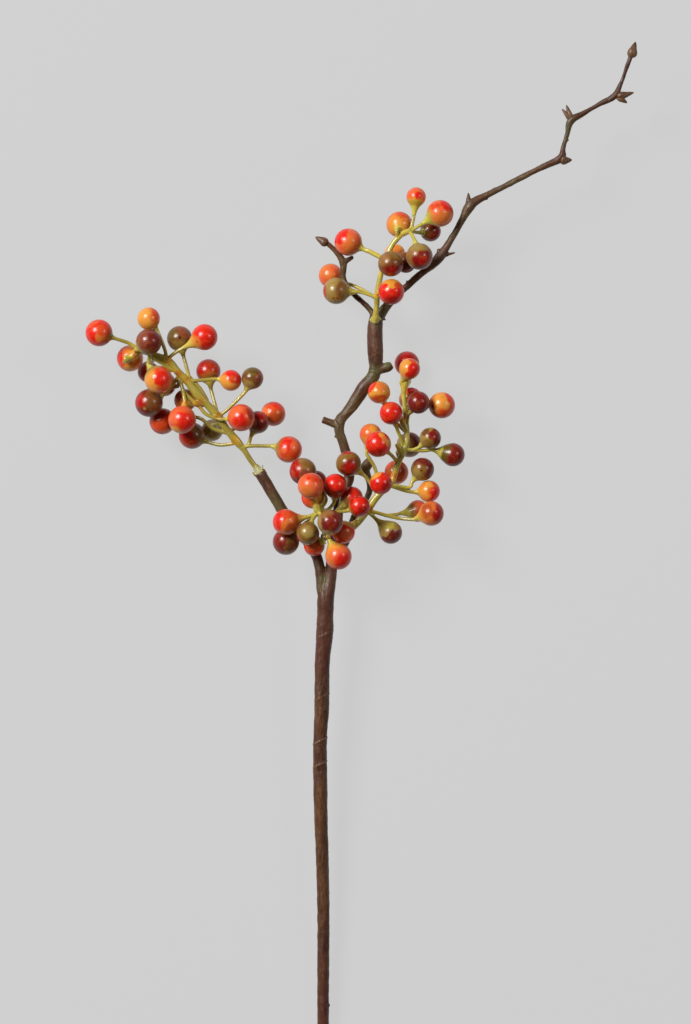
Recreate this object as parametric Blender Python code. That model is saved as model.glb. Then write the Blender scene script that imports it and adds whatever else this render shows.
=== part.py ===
"""Rowan berry sprig: a woody stem with budded twigs and four bunches of berries on green stalks.

The sprig lies on the plane z = 0 with its stem along +Y and its bunches facing +Z. The origin is
under the stem, just in from the slanted cut. Lengths in the lists below are in millimetres, and
each point of a branch or rachis is (x, y, z, diameter). A berry's neck is given in radii, and its
stalk's points have their diameter only where it isn't the common one. Blender's own unit is the metre.
"""

import math
from collections import namedtuple

import bmesh
import bpy
from mathutils import Matrix, Vector

MM = 0.001
WELD = 0.00001

STEM_SIDES = 10
TWIG_SIDES = 8
STALK_SIDES = 6
BERRY_SIDES = 9
BERRY_RINGS = 7
BUD_SIDES = 7
BUD_RINGS = 6

NECK_START = 0.6
NECK_WAIST = 0.35
SUNK_INTO_BERRY = 0.3
STALK_DIAMETER = 1.4
NECK_DIAMETER = 2.2

SEAT_GAP = 0.3
SOCKET_SIDES = 20
SOCKET_CUTTER = 9.0
SHARP_ANGLE = math.radians(50)
CUT_SLOPE = math.radians(28)
CUT_CENTRE = (0.0, -3.6, 2.0)
CUTTER_SIZE = 20.0
PLANE_SIZE = 600.0
PLANE_CENTRE_Y = 200.0

Branch = namedtuple("Branch", "name sides points")
Bud = namedtuple("Bud", "name base tip width")
Berry = namedtuple("Berry", "centre diameter neck tone stalk")
Socket = namedtuple("Socket", "bottom outward diameter peg")
Spray = namedtuple("Spray", "name socket rachis stubs berries")

BRANCHES = (
    Branch("trunk", STEM_SIDES, (
        (0.0, -9.0, 2.05, 4.6), (0.0, 7.0, 2.05, 4.6), (0.2, 54.0, 5.0, 4.6), (-0.2, 100.0, 8.0, 4.6),
        (-1.0, 144.0, 11.0, 4.9), (-1.2, 170.0, 13.0, 5.0), (0.1, 205.0, 15.5, 5.6),
        (0.9, 218.0, 16.4, 6.1), (1.2, 225.5, 16.9, 6.2), (2.5, 232.0, 17.1, 4.9),
        (3.2, 236.4, 17.2, 4.6), (3.5, 241.0, 17.3, 4.5), (4.4, 247.0, 17.4, 4.3),
        (5.4, 253.0, 17.4, 4.2), (5.9, 260.0, 17.5, 4.2), (7.8, 267.0, 17.6, 4.0),
        (10.0, 272.0, 17.6, 4.0), (10.1, 278.0, 17.7, 4.0), (8.8, 283.5, 17.8, 3.7),
        (7.4, 288.2, 17.9, 3.5), (6.3, 292.0, 18.0, 3.7), (6.8, 296.0, 18.0, 4.2),
        (8.8, 298.4, 18.1, 3.9), (11.5, 301.8, 18.2, 4.6), (14.2, 306.0, 18.4, 5.0),
        (16.2, 309.0, 18.6, 5.3), (18.9, 312.0, 18.8, 5.0), (20.3, 314.6, 18.9, 4.9),
        (20.8, 317.2, 19.0, 4.9), (20.9, 320.0, 19.1, 5.4), (20.7, 324.0, 19.3, 6.0),
        (20.6, 328.0, 19.5, 6.0), (20.6, 333.0, 19.8, 5.9), (21.3, 338.5, 20.0, 5.4),
    )),
    Branch("left_twig", STEM_SIDES, (
        (0.6, 221.0, 16.6, 4.0), (-0.6, 227.2, 17.0, 4.2), (-1.0, 232.0, 17.0, 4.2),
        (-1.6, 237.2, 17.0, 4.2), (-2.8, 241.4, 17.0, 4.2), (-5.2, 245.8, 17.0, 4.4),
        (-9.4, 251.6, 17.0, 4.5), (-13.6, 256.2, 17.0, 4.6), (-17.0, 260.6, 17.0, 4.6),
        (-19.6, 265.2, 17.0, 4.6), (-21.4, 268.1, 17.0, 4.6), (-25.4, 274.6, 17.0, 4.8),
    )),
    Branch("side_twig", TWIG_SIDES, (
        (5.0, 241.5, 16.8, 3.2), (9.0, 247.0, 15.2, 3.4), (12.6, 258.0, 13.6, 3.2),
        (17.8, 265.6, 13.0, 3.2), (18.6, 270.5, 13.0, 3.2), (17.2, 274.6, 13.0, 3.4),
        (16.9, 276.4, 13.0, 4.2), (18.4, 279.4, 13.0, 3.6),
    )),
    Branch("knob_stub", TWIG_SIDES, (
        (6.6, 293.6, 18.0, 3.6), (3.0, 295.0, 18.0, 3.0), (-0.4, 296.2, 18.0, 2.8),
    )),
    Branch("right_stub", TWIG_SIDES, (
        (20.4, 315.6, 19.0, 3.4), (23.2, 316.4, 19.0, 3.6), (25.8, 317.4, 19.0, 4.0),
        (27.4, 318.2, 19.0, 2.8),
    )),
    Branch("small_twig", STALK_SIDES, (
        (20.8, 336.6, 20.0, 3.2), (19.0, 339.6, 20.0, 2.5), (15.8, 343.0, 20.0, 2.2),
        (12.4, 346.0, 20.0, 2.2), (9.4, 349.6, 20.2, 2.2), (7.9, 353.6, 20.3, 2.3),
        (7.8, 358.8, 20.5, 2.9), (4.8, 363.6, 20.5, 2.2), (1.4, 366.6, 20.6, 2.2),
    )),
    Branch("small_twig_spur", STALK_SIDES, (
        (7.4, 358.6, 20.5, 2.6), (9.8, 360.0, 20.4, 2.2), (11.9, 361.2, 20.4, 1.6),
    )),
    Branch("long_twig", TWIG_SIDES, (
        (21.3, 336.4, 20.0, 5.0), (25.0, 341.2, 20.2, 3.8), (29.0, 345.2, 20.4, 3.2),
        (32.8, 349.0, 20.6, 2.8), (36.8, 352.6, 20.8, 2.8), (40.2, 355.4, 21.0, 2.9),
        (43.6, 358.2, 21.2, 3.6), (46.4, 361.2, 21.4, 4.2), (48.6, 364.4, 21.5, 3.2),
        (51.2, 368.6, 21.8, 2.7), (55.6, 376.2, 22.0, 2.9), (58.3, 381.2, 22.2, 4.2),
        (63.2, 384.8, 22.4, 2.9), (70.6, 388.4, 22.7, 2.4), (78.6, 392.6, 23.0, 2.4),
        (86.6, 396.6, 23.3, 2.4), (94.6, 400.4, 23.6, 3.2), (95.8, 404.8, 23.8, 2.0),
        (97.4, 410.4, 24.0, 2.0), (99.0, 415.6, 24.2, 3.2), (104.6, 418.8, 24.3, 2.0),
        (110.6, 422.2, 24.4, 2.0), (116.2, 425.4, 24.6, 2.8), (118.6, 430.0, 24.7, 1.7),
        (120.3, 434.4, 24.8, 1.7), (122.2, 439.6, 25.0, 1.9), (123.2, 442.8, 25.0, 2.0),
    )),
)

BUDS = (
    Bud("small_twig_bud", (1.8, 366.4, 20.6), (-3.2, 369.4, 20.7), 3.6),
    Bud("elbow_thorn", (46.6, 361.4, 21.4), (52.6, 362.9, 21.4), 2.4),
    Bud("elbow_spur", (47.2, 361.6, 21.6), (46.0, 364.8, 22.4), 2.2),
    Bud("node_thorn", (58.2, 381.2, 22.2), (57.9, 386.9, 22.4), 3.0),
    Bud("first_side_bud", (94.6, 399.6, 23.6), (99.3, 399.8, 23.6), 4.2),
    Bud("second_side_bud", (99.0, 415.6, 24.2), (97.0, 421.8, 24.4), 2.8),
    Bud("second_side_scale", (99.0, 415.6, 24.2), (95.2, 420.2, 24.4), 2.8),
    Bud("third_side_bud", (116.8, 424.8, 24.6), (124.0, 426.7, 24.8), 3.8),
    Bud("third_lower_bud", (117.2, 425.2, 24.6), (121.3, 422.5, 24.4), 3.4),
    Bud("tip_bud", (122.8, 441.2, 25.0), (124.8, 447.0, 25.2), 4.0),
)

LEFT_SOCKET = Socket((-23.08, 270.86, 17.0), (-0.528, 0.849, 0.0), 2.8, 6.0)
LEFT_RACHIS = (
    (-29.4, 280.2, 17.8, 2.2), (-31.8, 284.0, 18.6, 2.3), (-34.8, 287.6, 19.3, 2.9),
    (-38.6, 292.2, 20.0, 2.5), (-42.0, 297.0, 20.4, 2.8), (-46.2, 301.8, 20.7, 2.5),
    (-50.0, 305.8, 21.0, 2.9), (-54.0, 311.0, 21.2, 2.6), (-58.2, 315.2, 21.4, 2.4),
    (-62.0, 319.6, 21.6, 2.6), (-67.4, 322.0, 21.5, 2.2), (-74.0, 324.2, 21.0, 2.4),
)
LEFT_STUBS = (
    ((-73.6, 323.6, 21.2, 2.0), (-75.8, 321.6, 22.0, 2.0), (-78.6, 319.8, 22.2, 2.4)),
    ((-69.2, 322.0, 21.6, 1.4), (-68.6, 320.8, 22.0, 1.2), (-65.4, 319.0, 22.2, 1.2),
     (-62.2, 316.8, 22.0, 1.4), (-60.4, 315.4, 21.4, 1.4)),
    ((-57.6, 312.4, 21.6, 1.6), (-55.6, 307.2, 22.2, 1.5), (-52.4, 303.8, 22.2, 1.7),
     (-50.4, 302.4, 21.6, 2.8), (-46.8, 302.4, 20.8, 1.8)),
)
LEFT_BERRIES = (
    Berry((-89.8, 330.8, 22.0), 10.8, 0.4, "red",
          ((-74.2, 324.2, 21.0), (-77.6, 326.6, 21.8), (-83.4, 328.6, 22.0))),
    Berry((-69.8, 336.4, 24.0), 9.1, 0.3, "amber",
          ((-62.6, 320.4, 21.6), (-63.4, 324.0, 22.6), (-65.0, 328.4, 23.2), (-66.8, 332.6, 23.8))),
    Berry((-69.6, 327.0, 29.0), 10.4, 0.3, "maroon", ((-73.0, 324.0, 21.2), (-74.2, 323.8, 24.6))),
    Berry((-77.6, 320.8, 14.0), 10.6, 0.3, "red", ((-73.4, 324.0, 21.0), (-75.2, 323.0, 18.4))),
    Berry((-70.6, 315.6, 4.0), 8.8, 0.3, "maroon",
          ((-66.6, 321.8, 21.4), (-68.6, 319.5, 15.5), (-70.0, 317.0, 10.4))),
    Berry((-65.8, 312.0, 27.0), 11.2, 0.4, "amber",
          ((-69.4, 322.2, 21.6), (-69.8, 319.2, 24.0), (-70.6, 316.8, 26.0))),
    Berry((-63.8, 310.4, 14.0), 9.6, 0.5, "orange",
          ((-57.6, 311.6, 21.0), (-58.2, 309.8, 18.6), (-59.4, 308.4, 16.6))),
    Berry((-69.8, 302.8, 20.0), 11.2, 0.3, "maroon",
          ((-57.4, 314.2, 21.3), (-61.8, 308.2, 20.2), (-65.0, 305.2, 20.0))),
    Berry((-64.6, 295.6, 13.0), 10.6, 0.4, "red",
          ((-36.8, 290.2, 19.7), (-44.2, 292.6, 19.6), (-49.6, 296.8, 18.6), (-58.4, 297.4, 14.8))),
    Berry((-56.4, 296.0, 26.0), 11.2, 0.4, "red",
          ((-57.4, 311.6, 21.4), (-56.2, 308.0, 22.8), (-55.6, 304.8, 24.0), (-55.0, 301.6, 25.2))),
    Berry((-55.4, 304.0, 15.0), 9.0, 0.5, "orange", ((-50.6, 302.6, 21.2), (-52.6, 302.8, 18.8))),
    Berry((-52.7, 289.8, 15.0), 10.7, 0.5, "maroon",
          ((-35.0, 286.8, 19.2), (-41.0, 286.0, 17.8), (-46.6, 287.2, 16.2))),
    Berry((-44.8, 292.0, 9.0), 8.8, 0.5, "olive", ((-40.6, 295.0, 20.2), (-43.4, 294.2, 16.4))),
    Berry((-57.6, 328.6, 18.0), 10.2, 0.5, "olive",
          ((-53.4, 312.0, 21.2), (-54.2, 315.0, 21.0), (-55.4, 319.4, 20.2), (-56.4, 322.8, 19.2))),
    Berry((-47.5, 329.0, 25.0), 10.5, 0.8, "red",
          ((-62.4, 319.8, 21.6), (-60.4, 322.0, 22.8), (-56.0, 324.8, 23.8), (-53.2, 326.4, 24.6))),
    Berry((-46.2, 315.6, 14.0), 9.8, 0.6, "red",
          ((-42.0, 297.6, 20.4), (-43.6, 302.8, 18.8), (-45.0, 308.0, 16.8), (-45.4, 310.4, 15.6))),
    Berry((-37.0, 311.8, 22.0), 8.5, 0.3, "amber",
          ((-53.6, 311.8, 21.2), (-50.0, 311.8, 21.6), (-44.0, 312.3, 21.8), (-41.2, 312.3, 22.0))),
    Berry((-28.4, 312.7, 21.0), 8.8, 0.3, "olive",
          ((-42.0, 297.6, 20.4), (-38.8, 299.8, 20.6), (-34.2, 304.2, 20.8), (-30.8, 307.8, 21.0))),
    Berry((-32.8, 296.8, 27.0), 10.9, 0.3, "orange",
          ((-50.2, 302.2, 21.6), (-47.0, 298.4, 22.4), (-42.2, 296.4, 22.8), (-38.2, 296.2, 24.6))),
    Berry((-26.3, 295.1, 19.0), 9.1, 0.4, "maroon",
          ((-32.4, 284.6, 18.8), (-30.2, 286.0, 19.0), (-29.2, 288.8, 19.0), (-28.6, 291.0, 19.0))),
    Berry((-20.2, 298.6, 12.0), 9.9, 0.4, "red",
          ((-37.6, 291.8, 20.0), (-32.6, 293.6, 15.6), (-27.2, 296.0, 12.4))),
    Berry((-13.9, 284.2, 21.0), 10.7, 0.6, "red",
          ((-33.4, 284.9, 18.9), (-29.4, 285.6, 19.4), (-22.2, 285.6, 20.4), (-19.4, 286.0, 20.9))),
)

FRONT_SOCKET = Socket((5.3, 256.19, 17.99), (-0.48, 0.31, 0.82), 2.8, 3.6)
FRONT_RACHIS = (
    (0.6, 258.8, 25.6, 2.6), (-2.0, 259.6, 29.4, 3.6), (-2.6, 262.4, 30.4, 2.8),
)
FRONT_STUBS = (
    ((-2.0, 259.4, 29.6, 2.6), (0.6, 253.6, 29.6, 2.0), (1.8, 248.6, 30.0, 2.6)),
)
FRONT_BERRIES = (
    Berry((-8.2, 275.4, 26.0), 10.8, 0.3, "maroon",
          ((-2.0, 260.4, 29.6), (0.2, 265.4, 28.6), (-2.6, 271.4, 27.4))),
    Berry((-5.0, 269.6, 36.0), 10.4, 0.3, "orange", ((-2.6, 261.8, 30.2), (-3.2, 264.8, 32.4))),
    Berry((-3.0, 271.4, 18.6), 8.8, 0.3, "maroon",
          ((-1.4, 260.0, 28.6), (1.0, 263.8, 25.0), (0.0, 267.4, 21.6))),
    Berry((4.7, 269.8, 29.0), 9.4, 0.7, "red",
          ((-1.4, 259.8, 29.6), (3.0, 261.0, 28.6), (4.8, 264.4, 28.4))),
    Berry((-4.2, 265.2, 26.0), 9.4, 0.5, "red", ((-2.2, 259.4, 29.4), (-4.4, 260.0, 28.2))),
    Berry((-15.0, 255.2, 31.0), 10.4, 0.8, "red",
          ((-2.4, 258.8, 29.6), (-6.4, 257.2, 30.6), (-10.0, 257.4, 31.0))),
    Berry((-15.0, 247.3, 23.0), 10.6, 0.4, "maroon",
          ((-2.4, 258.6, 29.2), (-7.4, 254.6, 26.2), (-11.0, 250.8, 24.2))),
    Berry((-6.2, 250.7, 33.0), 9.2, 0.3, "olive", ((-2.4, 258.8, 29.8), (-4.8, 255.6, 31.8))),
    Berry((-3.7, 245.8, 25.0), 8.4, 0.6, "red", ((1.6, 249.0, 30.0), (-0.8, 247.8, 27.4))),
    Berry((2.7, 255.1, 38.0), 10.2, 0.3, "maroon", ((-2.0, 259.0, 29.8), (-0.4, 257.8, 33.4))),
    Berry((6.0, 241.5, 30.0), 10.6, 0.6, "orange", ((1.6, 249.2, 30.0), (3.4, 247.0, 30.2))),
    Berry((11.2, 264.8, 24.0), 9.2, 0.8, "red",
          ((-1.8, 259.4, 29.4), (4.0, 259.2, 27.2), (7.8, 260.4, 25.4))),
    Berry((14.3, 261.4, 32.0), 8.5, 0.3, "red", ((4.4, 259.2, 27.0), (9.0, 259.6, 29.6))),
)

RIGHT_SOCKET = Socket((5.2, 249.18, 17.76), (0.74, 0.3, 0.6), 3.0, 3.8)
RIGHT_RACHIS = (
    (10.2, 251.6, 20.7, 2.6), (13.8, 255.2, 21.0, 3.0), (17.8, 260.4, 21.2, 3.2),
    (21.4, 265.4, 21.4, 3.0), (25.8, 269.8, 21.5, 2.8), (28.0, 272.8, 21.5, 2.6),
    (29.0, 276.8, 21.5, 2.6), (30.6, 280.4, 21.5, 2.4), (32.4, 284.4, 21.4, 2.6),
    (33.4, 289.0, 21.2, 2.2), (33.0, 296.0, 20.8, 2.2), (32.2, 304.0, 20.4, 1.9),
    (32.0, 309.4, 20.0, 2.0),
)
RIGHT_STUBS = (
    ((33.0, 292.0, 21.4, 1.8), (31.9, 294.6, 22.4, 2.0), (31.2, 296.8, 23.0, 1.4)),
)
RIGHT_BERRIES = (
    Berry((33.5, 318.9, 4.8), 10.5, 0.3, "maroon", ((32.0, 308.6, 20.1), (33.6, 312.4, 15.6))),
    Berry((34.4, 316.4, 24.0), 8.4, 0.6, "amber", ((32.0, 308.4, 20.1), (31.6, 311.4, 22.0))),
    Berry((22.2, 307.0, 24.0), 9.0, 0.4, "amber",
          ((33.0, 291.0, 21.0), (27.6, 296.6, 20.4), (24.7, 301.9, 22.6))),
    Berry((27.0, 298.6, 28.0), 9.2, 0.4, "red",
          ((32.4, 285.6, 21.4), (29.9, 291.0, 24.2), (28.9, 293.8, 26.0))),
    Berry((35.0, 304.4, 13.0), 9.6, 0.4, "orange", ((33.0, 295.0, 20.8), (34.0, 299.2, 16.8))),
    Berry((37.9, 302.9, 26.0), 9.0, 0.3, "maroon", ((33.2, 293.4, 21.0), (33.8, 297.8, 23.4))),
    Berry((47.3, 301.9, 20.0), 10.6, 0.3, "amber",
          ((32.4, 302.0, 20.5), (36.8, 302.3, 19.7), (41.6, 302.2, 19.8))),
    Berry((18.8, 290.2, 22.0), 8.8, 0.6, "orange",
          ((22.6, 266.8, 21.4), (20.8, 276.0, 22.0), (18.6, 280.2, 22.0), (16.6, 283.6, 22.0))),
    Berry((21.8, 286.2, 31.0), 10.3, 0.4, "red",
          ((29.2, 279.6, 21.6), (27.6, 281.4, 25.0), (25.6, 283.2, 28.0))),
    Berry((34.4, 286.2, 12.0), 10.2, 0.6, "maroon",
          ((30.2, 280.4, 21.2), (29.4, 283.6, 18.0), (30.2, 285.2, 15.0))),
    Berry((42.7, 288.7, 22.0), 8.6, 0.4, "olive", ((35.6, 283.9, 21.2), (39.2, 285.4, 21.6))),
    Berry((51.8, 282.1, 20.0), 9.4, 0.9, "maroon",
          ((32.4, 284.2, 21.4), (39.6, 283.7, 20.8), (46.6, 284.5, 20.3))),
    Berry((10.0, 278.5, 26.0), 10.1, 0.6, "olive",
          ((21.8, 265.8, 21.4), (18.0, 271.8, 23.2), (14.8, 275.4, 25.0))),
    Berry((29.2, 275.1, 14.0), 9.7, 0.3, "orange", ((27.6, 272.2, 21.5), (28.2, 273.4, 18.0))),
    Berry((39.6, 276.3, 21.0), 9.3, 0.4, "olive",
          ((26.8, 270.2, 21.5), (34.0, 268.9, 21.4), (36.3, 272.6, 21.2))),
    Berry((22.9, 270.7, 32.0), 9.0, 0.3, "red", ((25.2, 269.2, 21.6), (24.2, 269.9, 27.0))),
    Berry((42.2, 267.5, 20.0), 8.7, 0.4, "amber",
          ((26.4, 269.8, 21.5), (32.4, 267.8, 20.9), (37.8, 266.8, 20.3))),
    Berry((37.8, 259.6, 15.0), 8.8, 0.9, "red",
          ((24.4, 257.8, 20.6), (29.2, 258.2, 18.8), (33.4, 259.6, 16.8))),
    Berry((43.1, 258.6, 25.0), 9.9, 0.6, "orange",
          ((17.6, 260.0, 21.2), (28.6, 257.0, 20.6), (38.0, 256.0, 23.2))),
    Berry((26.9, 251.0, 21.0), 9.2, 0.9, "olive",
          ((17.2, 259.8, 21.2), (20.8, 256.6, 20.9), (23.8, 254.4, 20.9))),
    Berry((8.0, 251.2, 26.0), 9.2, 0.7, "red", ((14.0, 255.8, 21.0), (11.4, 255.0, 23.4))),
)

TOP_SOCKET = Socket((20.7, 334.86, 20.85), (0.0, 0.55, 0.835), 2.8, 3.4)
TOP_RACHIS = (
    (20.9, 339.0, 25.0, 2.2), (21.3, 342.0, 25.4, 2.2), (21.4, 346.0, 26.2, 2.4),
    (22.3, 351.0, 26.8, 2.2), (23.4, 356.0, 27.1, 2.2), (25.4, 361.0, 27.4, 2.4),
    (27.4, 365.6, 27.5, 2.2), (29.8, 368.6, 27.5, 2.3), (31.8, 370.4, 27.4, 2.3),
    (34.8, 371.4, 27.2, 2.6),
)
TOP_BERRIES = (
    Berry((9.9, 367.0, 24.0), 11.0, 0.7, "red",
          ((24.8, 359.8, 27.3, 2.0), (18.6, 363.0, 26.0, 2.0), (15.2, 364.4, 25.0, 2.0))),
    Berry((2.8, 354.0, 14.0), 9.6, 0.4, "orange",
          ((21.2, 344.0, 25.8), (18.2, 346.6, 19.6), (13.2, 349.4, 16.0), (7.6, 351.4, 15.6))),
    Berry((5.1, 347.4, 26.0), 10.6, 0.7, "olive",
          ((21.3, 344.8, 25.9), (16.2, 346.6, 26.0), (10.4, 347.8, 26.0))),
    Berry((26.8, 357.9, 34.0), 10.2, 0.3, "olive", ((23.4, 356.4, 27.1), (24.6, 357.0, 30.0))),
    Berry((27.0, 346.8, 33.0), 10.4, 0.4, "red", ((21.4, 346.6, 26.2), (23.6, 347.2, 29.6))),
    Berry((28.6, 362.4, 18.0), 8.4, 0.3, "orange", ((25.2, 361.2, 27.3), (26.8, 362.2, 22.6))),
    Berry((32.8, 358.8, 25.0), 8.4, 0.3, "maroon", ((24.2, 358.4, 27.2), (28.4, 358.8, 26.2))),
    Berry((38.2, 360.9, 33.0), 10.6, 0.4, "olive", ((34.4, 371.2, 27.2), (36.4, 367.4, 30.4))),
    Berry((30.3, 374.1, 22.0), 10.4, 0.4, "orange", ((29.6, 368.8, 27.6), (29.8, 371.8, 28.6))),
    Berry((37.0, 384.9, 26.0), 7.8, 1.0, "orange",
          ((34.8, 371.2, 27.2), (35.8, 375.8, 26.8), (36.5, 380.2, 26.4))),
    Berry((46.5, 378.3, 27.0), 10.8, 0.6, "red",
          ((34.6, 371.2, 27.2), (38.4, 373.5, 27.2), (41.6, 375.6, 27.2))),
    Berry((42.8, 371.6, 19.0), 8.4, 0.4, "maroon", ((34.6, 371.2, 27.0), (38.2, 370.8, 23.0))),
)

SPRAYS = (
    Spray("left_berry_cluster", LEFT_SOCKET, LEFT_RACHIS, LEFT_STUBS, LEFT_BERRIES),
    Spray("front_berry_cluster", FRONT_SOCKET, FRONT_RACHIS, FRONT_STUBS, FRONT_BERRIES),
    Spray("right_berry_cluster", RIGHT_SOCKET, RIGHT_RACHIS, RIGHT_STUBS, RIGHT_BERRIES),
    Spray("top_berry_cluster", TOP_SOCKET, TOP_RACHIS, (), TOP_BERRIES),
)


def linear(red, green, blue):
    """A colour given as 0 to 255 screen values, as Blender's linear values."""
    return tuple((value / 255) ** 2.2 for value in (red, green, blue)) + (1.0,)


TONES = {
    "red": linear(204, 32, 26),
    "orange": linear(224, 92, 44),
    "amber": linear(228, 146, 52),
    "maroon": linear(98, 36, 36),
    "olive": linear(112, 98, 48),
}
STALK_COLOUR = linear(150, 148, 58)
BARK_COLOUR = linear(82, 56, 48)


def clear_scene():
    for thing in list(bpy.data.objects):
        bpy.data.objects.remove(thing, do_unlink=True)


def new_collection(name):
    collection = bpy.data.collections.new(name)
    bpy.context.scene.collection.children.link(collection)
    return collection


def plain_material(name, colour, roughness):
    """A Principled material without metal."""
    material = bpy.data.materials.new(name)
    material.use_nodes = True
    shader = material.node_tree.nodes["Principled BSDF"]
    shader.inputs["Base Color"].default_value = colour
    shader.inputs["Roughness"].default_value = roughness
    shader.inputs["Metallic"].default_value = 0.0
    return material


def bark_material():
    return plain_material("bark", BARK_COLOUR, 0.6)


def stalk_material():
    return plain_material("green_stalk", STALK_COLOUR, 0.35)


def berry_materials():
    return {tone: plain_material("berry_" + tone, colour, 0.2) for tone, colour in TONES.items()}


def metres(point):
    return Vector(point[:3]) * MM


def add_object(name, mesh, collection, material):
    """A smooth-shaded object with one material, linked to one collection."""
    mesh.materials.clear()
    mesh.materials.append(material)
    thing = bpy.data.objects.new(name, mesh)
    collection.objects.link(thing)
    return thing


def tube(name, points, sides, collection, material):
    """A closed tube through points of (x, y, z, diameter), made as a bevelled curve and then a mesh."""
    curve = bpy.data.curves.new(name, "CURVE")
    curve.dimensions = "3D"
    curve.bevel_depth = MM / 2
    curve.bevel_resolution = (sides - 4) // 2
    curve.use_fill_caps = True
    spline = curve.splines.new("POLY")
    spline.points.add(len(points) - 1)
    for control, point in zip(spline.points, points):
        control.co = (*metres(point), 1.0)
        control.radius = point[3]
    guide = bpy.data.objects.new(name + "_guide", curve)
    collection.objects.link(guide)
    bpy.context.view_layer.update()
    evaluated = guide.evaluated_get(bpy.context.evaluated_depsgraph_get())
    mesh = bpy.data.meshes.new_from_object(evaluated)
    weld_and_face_out(mesh)
    piece = add_object(name, mesh, collection, material)
    piece.matrix_world = guide.matrix_world
    bpy.data.objects.remove(guide, do_unlink=True)
    return piece


def weld_and_face_out(mesh):
    """Joins a tube's loose caps to its wall and points every face outwards."""
    work = bmesh.new()
    work.from_mesh(mesh)
    bmesh.ops.remove_doubles(work, verts=work.verts[:], dist=WELD)
    bmesh.ops.recalc_face_normals(work, faces=work.faces[:])
    work.to_mesh(mesh)
    work.free()


def drop(name, centre, diameter, towards, neck, collection, material, sides, rings):
    """A ball with the side that faces `towards` drawn out into a neck, `neck` radii long."""
    radius = diameter * MM / 2
    work = bmesh.new()
    bmesh.ops.create_uvsphere(work, u_segments=sides, v_segments=rings, radius=radius)
    for vertex in work.verts:
        pull = max(0.0, vertex.co.z / radius - NECK_START) / (1 - NECK_START)
        vertex.co.x *= 1 - NECK_WAIST * pull
        vertex.co.y *= 1 - NECK_WAIST * pull
        vertex.co.z += neck * radius * pull**2
    heading = (metres(towards) - metres(centre)).to_track_quat("Z", "Y").to_matrix().to_4x4()
    bmesh.ops.transform(work, matrix=Matrix.Translation(metres(centre)) @ heading, verts=work.verts[:])
    mesh = bpy.data.meshes.new(name)
    work.to_mesh(mesh)
    work.free()
    return add_object(name, mesh, collection, material)


def bud_shape(bud, collection, material):
    """A pointed bud from its base to its tip, with its widest part nearer the base."""
    base = Vector(bud.base)
    tip = Vector(bud.tip)
    ball_centre = base + (tip - base).normalized() * bud.width * 0.5
    neck = (tip - ball_centre).length / (bud.width / 2) - 1
    return drop(bud.name, ball_centre, bud.width, tip, neck, collection, material, BUD_SIDES, BUD_RINGS)


def berry_with_stalk(name, berry, collection, stalk, paint):
    """A berry and the stalk that joins it to the rachis, sunk into both."""
    centre = Vector(berry.centre)
    last = Vector(berry.stalk[-1][:3])
    end = centre + (last - centre).normalized() * berry.diameter * SUNK_INTO_BERRY
    drop(name, centre, berry.diameter, last, berry.neck, collection, paint, BERRY_SIDES, BERRY_RINGS)
    points = [(*point, STALK_DIAMETER)[:4] for point in berry.stalk]
    points.append((*end, NECK_DIAMETER))
    tube(name + "_stalk", points, STALK_SIDES, collection, stalk)


def bake(thing):
    """Replaces an object's mesh with its evaluated one and clears its modifiers."""
    bpy.context.view_layer.update()
    evaluated = thing.evaluated_get(bpy.context.evaluated_depsgraph_get())
    thing.data = bpy.data.meshes.new_from_object(evaluated)
    thing.data.name = thing.name
    thing.modifiers.clear()


def fuse(seed, repeats):
    """Joins every object of a collection to the seed in one union, then removes them."""
    union = seed.modifiers.new("join", "BOOLEAN")
    union.operation = "UNION"
    union.operand_type = "COLLECTION"
    union.collection = repeats
    union.solver = "EXACT"
    union.material_mode = "TRANSFER"
    bake(seed)
    for piece in list(repeats.objects):
        bpy.data.objects.remove(piece, do_unlink=True)
    bpy.data.collections.remove(repeats)


def cutter(name, work, cutters):
    """A hidden wire object from a bmesh, for cutting other pieces."""
    mesh = bpy.data.meshes.new(name)
    bmesh.ops.recalc_face_normals(work, faces=work.faces[:])
    work.to_mesh(mesh)
    work.free()
    tool = bpy.data.objects.new(name, mesh)
    tool.hide_render = True
    tool.display_type = "WIRE"
    cutters.objects.link(tool)
    return tool


def box_cutter(name, size, place, cutters):
    work = bmesh.new()
    bmesh.ops.create_cube(work, size=size * MM, matrix=place)
    return cutter(name, work, cutters)


def socket_cutter(name, socket, cutters):
    """A cylinder from a socket's bottom out past its mouth."""
    outward = Vector(socket.outward).normalized()
    middle = metres(socket.bottom) + outward * SOCKET_CUTTER * MM / 2
    place = Matrix.Translation(middle) @ outward.to_track_quat("Z", "Y").to_matrix().to_4x4()
    radius = socket.diameter * MM / 2
    work = bmesh.new()
    bmesh.ops.create_cone(
        work, cap_ends=True, segments=SOCKET_SIDES, radius1=radius, radius2=radius,
        depth=SOCKET_CUTTER * MM, matrix=place,
    )
    return cutter(name, work, cutters)


def cut(thing, tool):
    difference = thing.modifiers.new(tool.name, "BOOLEAN")
    difference.operation = "DIFFERENCE"
    difference.object = tool
    difference.solver = "EXACT"


def smooth(thing):
    thing.data.shade_smooth()
    thing.data.set_sharp_from_angle(angle=SHARP_ANGLE)


def peg_points(socket):
    """The straight peg that sits in a socket, clear of its bottom and wall by the seat gap."""
    bottom = Vector(socket.bottom)
    outward = Vector(socket.outward).normalized()
    diameter = socket.diameter - 2 * SEAT_GAP
    return [(*(bottom + outward * reach), diameter) for reach in (SEAT_GAP, socket.peg)]


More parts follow.
